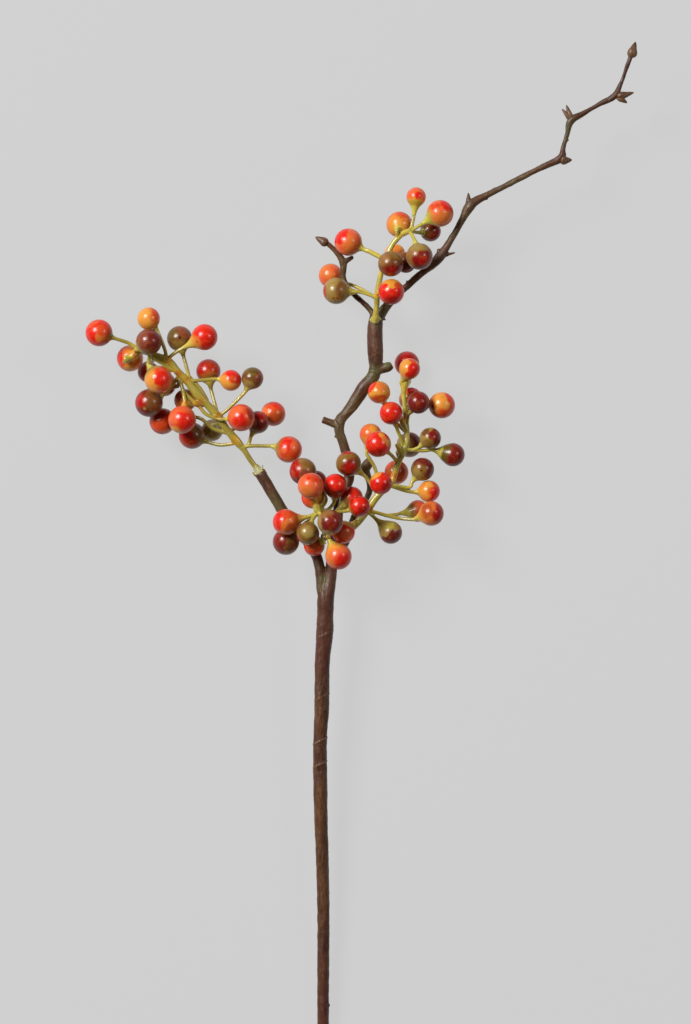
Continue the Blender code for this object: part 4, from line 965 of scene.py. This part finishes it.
def berry_tree():
    """Puts a ball on each point and draws the side towards its stalk out into a neck."""
    tree, given, output = new_tree("berries", (
        ("Segments", "Int"), ("Rings", "Int"), ("Dent", "Float"), ("Material", "Material"),
    ))
    ball = add_node(tree, "GeometryNodeMeshUVSphere", {
        "Segments": given.outputs["Segments"], "Rings": given.outputs["Rings"], "Radius": 1.0,
    })
    axis = named(tree, "axis", "FLOAT_VECTOR")
    centre = named(tree, "centre", "FLOAT_VECTOR")
    radius = named(tree, "radius")
    turn = add_node(tree, "FunctionNodeAlignRotationToVector", {"Vector": axis}, axis="Z")
    placed = add_node(tree, "GeometryNodeInstanceOnPoints", {
        "Points": given.outputs["Geometry"], "Instance": ball.outputs["Mesh"],
        "Rotation": turn.outputs[0], "Scale": radius,
    })
    solid = add_node(tree, "GeometryNodeRealizeInstances", {"Geometry": placed.outputs[0]})
    place = Arrow(tree, tree.nodes.new("GeometryNodeInputPosition").outputs[0])
    out = (place - centre) * (1.0 / radius)
    rise = out.dot(axis)
    side = (out - axis * rise).unit()
    angle = rise.at_most(1.0).at_least(-1.0).arc_cosine()
    along = (angle / NECK_RINGS).at_most(1.0)
    back = 1.0 - along
    start = named(tree, "spread")
    round_angle = start + (angle - NECK_RINGS).at_least(0.0) * ((math.pi - start) / (math.pi - NECK_RINGS))
    far = named(tree, "neck") + 1.0
    tip = named(tree, "tip")
    shoulder = start.cosine()
    shoulder_width = start.sine()
    lead = ((shoulder_width - tip) * NECK_SHOULDER / shoulder).at_most((far - shoulder) * NECK_SHOULDER)
    first = back * back * back
    second = along * back * back * 3.0
    third = along * along * back * 3.0
    last = along * along * along
    neck_rise = first * far + second * (far - (far - shoulder) * NECK_TIP)
    neck_rise = neck_rise + third * (shoulder + lead * shoulder_width) + last * shoulder
    neck_width = (first + second) * tip
    neck_width = neck_width + third * (shoulder_width - lead * shoulder) + last * shoulder_width
    inside = angle.below(NECK_RINGS)
    rise = round_angle.cosine() + inside * (neck_rise - round_angle.cosine())
    width = round_angle.sine() + inside * (neck_width - round_angle.sine())
    width = width * angle.sine().above(0.0001)
    dent = add_node(tree, "ShaderNodeTexNoise", {"Vector": place, "Scale": 160.0, "Detail": 0.0})
    even = (Number(tree, dent.outputs["Fac"]) - 0.5) * Number(tree, given.outputs["Dent"]) + 1.0
    moved = centre + (axis * rise + side * width) * (radius * even)
    formed = add_node(tree, "GeometryNodeSetPosition", {
        "Geometry": solid.outputs[0], "Position": moved.at_least((-9.0, -9.0, LOWEST)),
    })
    marked = add_node(tree, "GeometryNodeStoreNamedAttribute", {
        "Geometry": formed.outputs[0], "Name": "reach", "Value": (rise - shoulder) / (far - shoulder),
    }, data_type="FLOAT", domain="POINT")
    end_tree(tree, output, marked.outputs[0], given.outputs["Material"])
    return tree


def new_material(name, settings):
    """A material with its shader's settings, its tree, its shader and its Object coordinates."""
    material = bpy.data.materials.new(name)
    material.use_nodes = True
    tree = material.node_tree
    shader = tree.nodes["Principled BSDF"]
    for key, value in settings.items():
        shader.inputs[key].default_value = value
    place = Arrow(tree, tree.nodes.new("ShaderNodeTexCoord").outputs["Object"])
    return material, tree, shader, place


def read(tree, name):
    """An attribute of the mesh, read in a material."""
    return add_node(tree, "ShaderNodeAttribute", attribute_name=name)


def mark(tree, name):
    """An attribute's number, read in a material."""
    return Number(tree, read(tree, name).outputs["Fac"])


def noise(tree, vector, scale, detail=2.0, along=None, distortion=0.0):
    """A noise pattern's value, stretched along the grain where `along` is given."""
    inputs = {"Vector": vector, "Scale": scale, "Detail": detail, "Distortion": distortion}
    if along is None:
        return Number(tree, add_node(tree, "ShaderNodeTexNoise", inputs).outputs["Fac"])
    inputs["W"] = along
    return Number(tree, add_node(tree, "ShaderNodeTexNoise", inputs, noise_dimensions="4D").outputs["Fac"])


def solid(colour):
    """A colour without see-through parts."""
    return (*colour, 1.0)


def blend(tree, share, first, second):
    """One colour mixed with another, each a node's output or a plain colour."""
    node = add_node(tree, "ShaderNodeMix", {"Factor": share}, data_type="RGBA")
    for place, colour in ((node.inputs[6], first), (node.inputs[7], second)):
        feed(tree, place, colour if isinstance(colour, bpy.types.NodeSocket) else solid(colour))
    return node.outputs[2]


def spread(number, low, high):
    """A number's range from low to high stretched to 0 to 1, and held there."""
    return ((number - low) / (high - low)).held()


def paint(tree, shader, colour, height=None, distance=0.0):
    """Joins a colour to a shader, and a bump where its height is given."""
    tree.links.new(colour, shader.inputs["Base Color"])
    if height is not None:
        bump = add_node(tree, "ShaderNodeBump", {"Height": height, "Distance": distance, "Strength": 1.0})
        tree.links.new(bump.outputs[0], shader.inputs["Normal"])


def bark_material(bark):
    """Brown bark with blotches drawn out lengthwise, pale ridges and green places."""
    material, tree, shader, place = new_material("bark", {})
    around = read(tree, "around").outputs["Vector"]
    along = mark(tree, "along")
    blotch = noise(tree, around, 0.42, 3.0, along * 0.16, distortion=0.6)
    streak = noise(tree, around, 1.5, 3.0, along * 0.25)
    cloud = noise(tree, place, 45.0, 2.0)
    speck = noise(tree, place, 1500.0, 2.0)
    grain = noise(tree, around, 2.6, 4.0, along * 1.1)
    mix = blotch * 0.4 + streak * 0.2 + cloud * 0.15 + grain * 0.25
    colour = blend(tree, spread(mix, 0.38, 0.56), bark.dark, bark.brown)
    colour = blend(tree, spread(mix + (speck - 0.5) * 0.15, 0.55, 0.7) * 0.6, colour, bark.pale)
    ruddy = mark(tree, "ruddy") * 0.5 + (0.5 - cloud) * 1.2 + (0.5 - grain) * 1.2
    colour = blend(tree, spread(ruddy, -0.02, 0.5) * 0.75, colour, bark.red)
    green = mark(tree, "green") * spread(blotch + streak, 0.62, 1.05) * 1.2
    colour = blend(tree, green.held(), colour, bark.green)
    scar = mark(tree, "scar") * spread(streak, 0.35, 0.6)
    colour = blend(tree, scar.held(), colour, bark.pale)
    feed(tree, shader.inputs["Roughness"], spread(streak, 0.2, 0.8) * 0.28 + 0.34)
    paint(tree, shader, colour, blotch * 0.5 + streak * 0.5 + speck * 0.08, 0.0005)
    return material


def wood_material(bark):
    """The pale cut face with its rings."""
    material, tree, shader, place = new_material("cut_wood", {"Roughness": 0.8})
    middle = tuple(Vector(RINGS_MIDDLE) * MM)
    ring = (place - middle).length() * 2600.0 + noise(tree, place, 400.0) * 3.0
    colour = blend(tree, spread(ring.sine(), -1.0, 1.0) * 0.5, bark.wood, bark.pale)
    paint(tree, shader, colour, noise(tree, place, 2400.0), 0.0002)
    return material


def pore_material(bark):
    """Pale corky pores, some of them as brown as the bark."""
    material, tree, shader, place = new_material("lenticel", {"Roughness": 0.55})
    colour = blend(tree, spread(noise(tree, place, 90.0), 0.35, 0.65), bark.brown, bark.pale)
    paint(tree, shader, colour)
    return material


def bud_material(bark):
    """Overlapping brown scales, darker towards their tips."""
    material, tree, shader, place = new_material("bud_scales", {"Roughness": 0.42})
    tip = mark(tree, "tip")
    tint = mark(tree, "tint")
    grain = noise(tree, place, 900.0, 3.0)
    colour = blend(tree, spread(tint + (grain - 0.5) * 0.5, 0.0, 1.0), bark.bud, bark.pale)
    colour = blend(tree, spread(tip, 0.55, 1.1) * 0.8, colour, bark.dark)
    paint(tree, shader, colour, grain, 0.0002)
    return material


def stalk_material(stalks):
    """Glossy yellow-green stalk with an amber glaze at its joints, which have brown middles."""
    material, tree, shader, place = new_material("green_stalk", {
        "Roughness": 0.32, "Coat Weight": 0.4, "Coat Roughness": 0.1,
    })
    around = read(tree, "around").outputs["Vector"]
    along = mark(tree, "along")
    streak = noise(tree, around, 1.1, 3.0, along * 0.12)
    cloud = noise(tree, place, 150.0, 2.0)
    colour = blend(tree, spread(streak * 0.5 + cloud * 0.5, 0.34, 0.58), stalks.olive, stalks.green)
    joint = mark(tree, "joint") + (cloud - 0.5) * 2.2 + (streak - 0.5) * 0.9
    colour = blend(tree, spread(joint, 0.1, 0.6) * 0.85, colour, stalks.amber)
    colour = blend(tree, spread(joint, 0.72, 1.1) * 0.85, colour, stalks.joint)
    fleck = noise(tree, place, 700.0, 2.0)
    colour = blend(tree, spread(fleck, 0.66, 0.76) * 0.4, colour, stalks.joint)
    dull = mark(tree, "dull") * spread(cloud * 0.5 + streak * 0.5, 0.3, 0.56)
    colour = blend(tree, dull, colour, stalks.dull)
    pale = mark(tree, "pale") + (streak - 0.5) * 0.8
    colour = blend(tree, spread(pale, 0.3, 0.7), colour, stalks.pale)
    paint(tree, shader, colour, streak * 0.7 + cloud * 0.3, 0.0003)
    return material


def skin_material(tones, stalks):
    """Glossy berry skin, painted by each berry's own patches and pale towards its neck."""
    material, tree, shader, place = new_material("berry_skin", {
        "Roughness": 0.28, "Specular IOR Level": 0.42, "Coat Weight": 0.12, "Coat Roughness": 0.12,
    })
    centre = Arrow(tree, read(tree, "centre").outputs["Vector"])
    out = (place - centre).unit()
    wave = (noise(tree, place, 330.0, 3.0) - 0.5) * 1.1 + (noise(tree, place, 150.0, 1.0) - 0.5) * 1.2
    colour = read(tree, "base_tone").outputs["Color"]
    for number in range(1, PATCHES + 1):
        way = Arrow(tree, read(tree, f"patch_{number}_way").outputs["Vector"])
        tone = read(tree, f"patch_{number}_tone")
        limit = Number(tree, tone.outputs["Alpha"])
        cover = out.dot(way) - limit + wave * (way.length() - limit) * 1.3 + 0.5
        colour = blend(tree, cover.held(), colour, tone.outputs["Color"])
    swirl = noise(tree, place, 260.0, 4.0, distortion=1.6)
    colour = blend(tree, spread(swirl, 0.5, 0.74) * 0.2, colour, tones.brick)
    colour = blend(tree, spread(1.0 - swirl, 0.52, 0.76) * 0.2, colour, tones.amber)
    fleck = noise(tree, place, 1300.0, 2.0)
    colour = blend(tree, spread(fleck, 0.66, 0.74) * 0.3, colour, tones.pit)
    reach = mark(tree, "reach") + wave * 0.4
    colour = blend(tree, spread(reach, -0.2, 0.45), colour, read(tree, "neck_tone").outputs["Color"])
    colour = blend(tree, spread(reach, 0.6, 1.1), colour, stalks.green)
    paint(tree, shader, colour, swirl * 0.6 + fleck * 0.2, 0.00016)
    return material


def cut_end(mesh):
    """Cuts the stem's lower end on a slope, and gives the cut face the second material."""
    work = bmesh.new()
    work.from_mesh(mesh)
    kept = bmesh.ops.bisect_plane(
        work, geom=work.verts[:] + work.edges[:] + work.faces[:], clear_inner=True,
        plane_co=Vector(CUT_PLACE) * MM, plane_no=(0.0, math.cos(CUT_SLOPE), math.sin(CUT_SLOPE)),
    )
    rim = [item for item in kept["geom_cut"] if isinstance(item, bmesh.types.BMEdge)]
    for face in bmesh.ops.triangle_fill(work, edges=rim, use_beauty=True)["geom"]:
        if isinstance(face, bmesh.types.BMFace):
            face.material_index = 1
            face.smooth = False
    bmesh.ops.recalc_face_normals(work, faces=work.faces[:])
    work.to_mesh(mesh)
    work.free()


def bump_limbs():
    """Short stubs from the middle of the nearest limb out to each bump's tip."""
    middles = [sample[0] for limb in LIMBS for sample in trace(limb)]
    made = []
    for x, y in BUMPS:
        root = min(middles, key=lambda middle: (middle.xy - Vector((x, y))).length)
        made.append(((*root, BUMP_ROOT), (x, y, root.z + BUMP_RISE, BUMP_TIP)))
    return made


def scar_share(place):
    """How close a place is to the middle of a slanting ring of SCARS, from 0 to 1."""
    share = 0.0
    for x, y, strength in SCARS:
        distance = math.hypot(place.x - x, place.y - y)
        across = abs(place.y - y - SCAR_TILT * (place.x - x))
        if distance < SCAR_REACH:
            share = max(share, strength * max(0.0, 1 - (across / SCAR_HALF_WIDTH) ** 2))
    return share


def mark_spots(mesh, **marks):
    """Stores how close each vertex is to the spots of each mark."""
    places = [vertex.co / MM for vertex in mesh.vertices]
    for name, spots in marks.items():
        store(mesh, name, "FLOAT", [near(place, spots) for place in places])


def keep_above_floor(mesh):
    """Lifts the vertices that lie below the lowest height."""
    for vertex in mesh.vertices:
        vertex.co.z = max(vertex.co.z, LOWEST)


def build_woody_stem(bark):
    """The trunk and its twigs in one skin, with its relief and its cut end."""
    material = bark_material(bark)
    limbs = [*LIMBS, *THORNS, *bump_limbs()]
    stem = fused_limbs("woody_stem_bark", limbs, bark.voxel, material)
    mesh = stem.data
    mark_limbs(mesh, LIMBS)
    mark_spots(mesh, green=GREEN_PLACES, ruddy=RED_PLACES)
    store(mesh, "scar", "FLOAT", [scar_share(vertex.co / MM) for vertex in mesh.vertices])
    grow(stem, relief_tree(), {"Depth": bark.relief, "Material": material})
    bake(stem, material)
    stem.data.materials.append(wood_material(bark))
    cut_end(stem.data)
    keep_above_floor(stem.data)
    finish_piece(stem, "bark", "woody_stem")


def build_lenticels(bark):
    """Small pores over the whole bark."""
    stem = bpy.data.objects["woody_stem_bark"]
    material = pore_material(bark)
    pores = new_object("bark_lenticels", stem.data.copy())
    grow(pores, lenticel_tree(), {
        "Density": bark.lenticel_density, "Length": bark.lenticel, "Seed": PORE_SEED,
        "Material": material,
    })
    bake(pores, material)
    keep_above_floor(pores.data)
    finish_piece(pores, "bark")


def add_scale(work, tips, tints, bud, turn, share, tint):
    """One scale of a bud: a pointed drop that leans out from the bud's middle line."""
    base = Vector(bud.base) * MM
    line = (Vector(bud.tip) - Vector(bud.base)) * MM
    frame_of_bud = Matrix.Translation(base) @ line.to_track_quat("Z", "Y").to_matrix().to_4x4()
    frame_of_bud = frame_of_bud @ Matrix.Rotation(turn, 4, "Z")
    made = bmesh.ops.create_uvsphere(work, u_segments=18, v_segments=16, radius=1.0)["verts"]
    width = bud.width * MM * 0.5
    for vertex in made:
        rise = (vertex.co.z + 1) / 2
        swell = math.sin(math.pi * rise**SCALE_SWELL) ** SCALE_SWELL if 0 < rise < 1 else 0.0
        across = Vector((vertex.co.x, vertex.co.y, 0))
        across = across.normalized() if across.length > 1e-6 else across
        place = across * width * swell * (0.86 - 0.16 * share)
        place.x += width * SCALE_LEAN * (1 - share) * math.sin(math.pi * rise)
        place.z = line.length * rise * (0.62 + 0.38 * share)
        vertex.co = frame_of_bud @ place
        tips[vertex] = rise
        tints[vertex] = tint


def build_buds(bark):
    """Every bud, each with its overlapping scales."""
    chance = random.Random(BUD_SEED)
    work = bmesh.new()
    tips = {}
    tints = {}
    for bud in BUDS:
        for number in range(bud.scales):
            share = 1.0 if number == 0 else 0.85 - 0.62 * number / bud.scales
            turn = SCALE_TURN * number + chance.uniform(-TURN_SHIFT, TURN_SHIFT)
            add_scale(work, tips, tints, bud, turn, share, chance.uniform(0.0, SCALE_PALEST))
    mesh = bpy.data.meshes.new("buds")
    tip_values = [tips[vertex] for vertex in work.verts]
    tint_values = [tints[vertex] for vertex in work.verts]
    bmesh.ops.recalc_face_normals(work, faces=work.faces[:])
    work.to_mesh(mesh)
    work.free()
    store(mesh, "tip", "FLOAT", tip_values)
    store(mesh, "tint", "FLOAT", tint_values)
    mesh.materials.append(bud_material(bark))
    mesh.shade_smooth()
    finish_piece(new_object("twig_buds", mesh), "bark")


def meet_stalk(berry):
    """The part of a berry's stalk outside its neck, the neck's direction and how far it reaches."""
    centre = Vector(berry.centre)
    reach = berry.diameter / 2 * (1 + berry.neck[0])
    points = [Vector(point[:3]) for point in berry.stalk]
    inner = centre
    while len(points) > 1 and (points[-1] - centre).length <= reach:
        inner = points.pop()
    outer = points[-1]
    reach = min(reach, (outer - centre).length - 0.1)
    low, high = 0.0, 1.0
    for halving in range(20):
        share = (low + high) / 2
        if (inner.lerp(outer, share) - centre).length > reach:
            high = share
        else:
            low = share
    end = inner.lerp(outer, low)
    return points, (end - centre).normalized(), reach


def stalk_limb(berry, thickness):
    """A berry's stalk, up to and a little way into its neck."""
    points, way, reach = meet_stalk(berry)
    width = berry.stalk[0][3] if len(berry.stalk[0]) > 3 else thickness
    centre = Vector(berry.centre)
    points += [centre + way * reach, centre + way * (reach - berry.diameter * STALK_OVERLAP)]
    return [(*point, width) for point in points]


def build_stalks(stalks):
    """The rachis and side stalks of each bunch, in one skin for each."""
    material = stalk_material(stalks)
    thickness = stalks.stalk / MM
    for bunch in BUNCHES:
        limbs = [bunch.rachis, *bunch.strands, *(stalk_limb(berry, thickness) for berry in bunch.berries)]
        piece = fused_limbs(f"{bunch.name}_stalks", limbs, stalks.voxel, material)
        mark_limbs(piece.data, limbs)
        spots = [(x, y, reach, 1.0) for x, y, reach in bunch.joints]
        mark_spots(piece.data, joint=spots, pale=PALE_PLACES, dull=DULL_PLACES)
        finish_piece(piece, "green_stalk", f"{bunch.name}_berry_cluster")


def patch_values(patch, tones):
    """A patch's direction, as long as its edge is sharp, and its colour with the cover's limit."""
    right, up, size, tone, edge = patch[:5]
    deep = 1 - right**2 - up**2
    way = Vector((right, up, math.sqrt(deep) if deep > 0 else 0.0))
    if len(patch) > 5:
        way.z = patch[5]
    edge_cosine = math.cos(math.radians(size))
    way = way.normalized() * edge / (1 - edge_cosine)
    return way, (*getattr(tones, tone), edge * edge_cosine / (1 - edge_cosine))


def painted_patches(berry, chance):
    """A berry's own patches, and one more for the side that faces the floor."""
    base, *patches = berry.skin
    under = patches[0][3]
    right = chance.uniform(-UNDER_SHIFT, UNDER_SHIFT)
    up = chance.uniform(-UNDER_SHIFT, UNDER_SHIFT)
    hidden = (right, up, chance.uniform(*UNDER_SIZES), under, UNDER_EDGE, UNDER_DEPTH)
    return base, [*patches, hidden]


def build_berries(berries, tones, stalks):
    """Each bunch's berries, grown on points that hold their sizes and colours."""
    material = skin_material(tones, stalks)
    tree = berry_tree()
    tip = stalks.stalk / MM * NECK_OVER_STALK
    chance = random.Random(SKIN_SEED)
    for bunch in BUNCHES:
        mesh = bpy.data.meshes.new(f"{bunch.name}_berries")
        centres = [Vector(berry.centre) * MM for berry in bunch.berries]
        mesh.from_pydata(centres, [], [])
        store(mesh, "centre", "FLOAT_VECTOR", centres)
        skins = [painted_patches(berry, chance) for berry in bunch.berries]
        meetings = [meet_stalk(berry) for berry in bunch.berries]
        store(mesh, "axis", "FLOAT_VECTOR", [way for points, way, reach in meetings])
        store(mesh, "radius", "FLOAT", [berry.diameter / 2 * MM for berry in bunch.berries])
        necks = [2 * meeting[2] / berry.diameter - 1 for meeting, berry in zip(meetings, bunch.berries)]
        store(mesh, "neck", "FLOAT", necks)
        store(mesh, "spread", "FLOAT", [math.radians(berry.neck[1]) for berry in bunch.berries])
        neck_tones = [solid(getattr(tones, berry.neck[2])) for berry in bunch.berries]
        store(mesh, "neck_tone", "FLOAT_COLOR", neck_tones)
        store(mesh, "tip", "FLOAT", [tip / berry.diameter for berry in bunch.berries])
        store(mesh, "base_tone", "FLOAT_COLOR", [solid(getattr(tones, base)) for base, patches in skins])
        for number in range(PATCHES):
            values = [
                patch_values(patches[number], tones) if number < len(patches) else NO_PATCH
                for base, patches in skins
            ]
            store(mesh, f"patch_{number + 1}_way", "FLOAT_VECTOR", [way for way, tone in values])
            store(mesh, f"patch_{number + 1}_tone", "FLOAT_COLOR", [tone for way, tone in values])
        piece = new_object(f"{bunch.name}_berries", mesh)
        grow(piece, tree, {
            "Segments": berries.segments, "Rings": berries.rings, "Dent": berries.dent,
            "Material": material,
        })
        bake(piece, material)
        finish_piece(piece, "berry_skin", f"{bunch.name}_berry_cluster")


def floor_material(stage):
    """A pale matt surface that gives a little light of its own."""
    return new_material("floor", {
        "Base Color": solid(stage.floor), "Roughness": 0.9, "Specular IOR Level": 0.1,
        "Emission Color": (1.0, 1.0, 1.0, 1.0), "Emission Strength": stage.glow,
    })[0]


def new_world(stage):
    """Even light from above that meets the floor's own brightness at the horizon."""
    world = bpy.data.worlds.new("surroundings")
    world.use_nodes = True
    tree = world.node_tree
    way = tree.nodes.new("ShaderNodeTexCoord").outputs["Generated"]
    rise = add_node(tree, "ShaderNodeSeparateXYZ", {"Vector": way}).outputs["Z"]
    low = 1.0 - spread(Number(tree, rise), *HORIZON_BAND)
    background = tree.nodes["Background"]
    tree.links.new((low * (stage.horizon - stage.sky) + stage.sky).socket, background.inputs["Strength"])
    return world


def add_light(name, way, size, power):
    """A round soft light that faces the sprig's middle."""
    lamp = bpy.data.lights.new(name, "AREA")
    lamp.shape = "DISK"
    lamp.size = size
    lamp.energy = power
    thing = new_object(name, lamp)
    way = Vector(way).normalized()
    thing.location = Vector(SPRIG_MIDDLE) + way * LIGHT_DISTANCE
    thing.rotation_euler = way.to_track_quat("Z", "Y").to_euler()


def build_stage(stage):
    """The floor, the lights and the camera."""
    scene = bpy.context.scene
    scene.view_settings.view_transform = "Standard"
    mesh = bpy.data.meshes.new("floor")
    work = bmesh.new()
    bmesh.ops.create_circle(work, cap_ends=True, segments=96, radius=FLOOR_RADIUS)
    work.to_mesh(mesh)
    work.free()
    mesh.materials.append(floor_material(stage))
    new_object("floor", mesh)
    scene.world = new_world(stage)
    for name, way, size, power in LIGHTS:
        add_light(name, way, size, getattr(stage, power))
    view = bpy.data.cameras.new("camera")
    view.sensor_width = 36.0
    view.lens = stage.lens
    view.clip_start = 0.1
    view.clip_end = 50.0
    camera = new_object("camera", view)
    camera.location = (*CAMERA_PLACE, stage.height)
    scene.camera = camera


class SPRIG_OT_stage(Operator):
    """Adds the pale floor, the soft lights and the camera"""

    bl_idname = "sprig.stage"
    bl_label = "Stage"

    def execute(self, context):
        build_stage(context.scene.sprig_stage)
        return {"FINISHED"}


class SPRIG_OT_woody_stem(Operator):
    """Builds the woody stem with its twigs, bumps and cut end"""

    bl_idname = "sprig.woody_stem"
    bl_label = "Woody stem"

    def execute(self, context):
        build_woody_stem(context.scene.sprig_bark)
        return {"FINISHED"}


class SPRIG_OT_lenticels(Operator):
    """Scatters the pores over the woody stem"""

    bl_idname = "sprig.lenticels"
    bl_label = "Lenticels"

    def execute(self, context):
        build_lenticels(context.scene.sprig_bark)
        return {"FINISHED"}


class SPRIG_OT_buds(Operator):
    """Builds the buds on the twigs"""

    bl_idname = "sprig.buds"
    bl_label = "Buds"

    def execute(self, context):
        build_buds(context.scene.sprig_bark)
        return {"FINISHED"}


class SPRIG_OT_stalks(Operator):
    """Builds the green stalks of every bunch"""

    bl_idname = "sprig.stalks"
    bl_label = "Stalks"

    def execute(self, context):
        build_stalks(context.scene.sprig_stalks)
        return {"FINISHED"}


class SPRIG_OT_berries(Operator):
    """Builds the painted berries of every bunch"""

    bl_idname = "sprig.berries"
    bl_label = "Berries"

    def execute(self, context):
        scene = context.scene
        build_berries(scene.sprig_berries, scene.sprig_tones, scene.sprig_stalks)
        return {"FINISHED"}


class SPRIG_PT_panel(Panel):
    """Lists the sprig's pieces and their settings"""

    bl_label = "Rowan sprig"
    bl_idname = "SPRIG_PT_panel"
    bl_space_type = "VIEW_3D"
    bl_region_type = "UI"
    bl_category = "Rowan"

    def draw(self, context):
        for operator in OPERATORS:
            self.layout.operator(operator.bl_idname)
        for name, group in SETTINGS.items():
            box = self.layout.box()
            settings = getattr(context.scene, name)
            for key in group.__annotations__:
                box.prop(settings, key)


SETTINGS = {
    "sprig_bark": SprigBark,
    "sprig_stalks": SprigStalks,
    "sprig_tones": SprigTones,
    "sprig_berries": SprigBerries,
    "sprig_stage": SprigStage,
}
OPERATORS = (
    SPRIG_OT_stage, SPRIG_OT_woody_stem, SPRIG_OT_lenticels, SPRIG_OT_buds, SPRIG_OT_stalks,
    SPRIG_OT_berries,
)
CLASSES = (*SETTINGS.values(), *OPERATORS, SPRIG_PT_panel)


def register():
    for item in CLASSES:
        bpy.utils.register_class(item)
    for name, group in SETTINGS.items():
        setattr(bpy.types.Scene, name, PointerProperty(type=group))


def unregister():
    for name in SETTINGS:
        delattr(bpy.types.Scene, name)
    for item in reversed(CLASSES):
        bpy.utils.unregister_class(item)


def main():
    register()
    bpy.ops.sprig.stage()
    bpy.ops.sprig.woody_stem()
    bpy.ops.sprig.lenticels()
    bpy.ops.sprig.buds()
    bpy.ops.sprig.stalks()
    bpy.ops.sprig.berries()


if __name__ == "__main__":
    main()
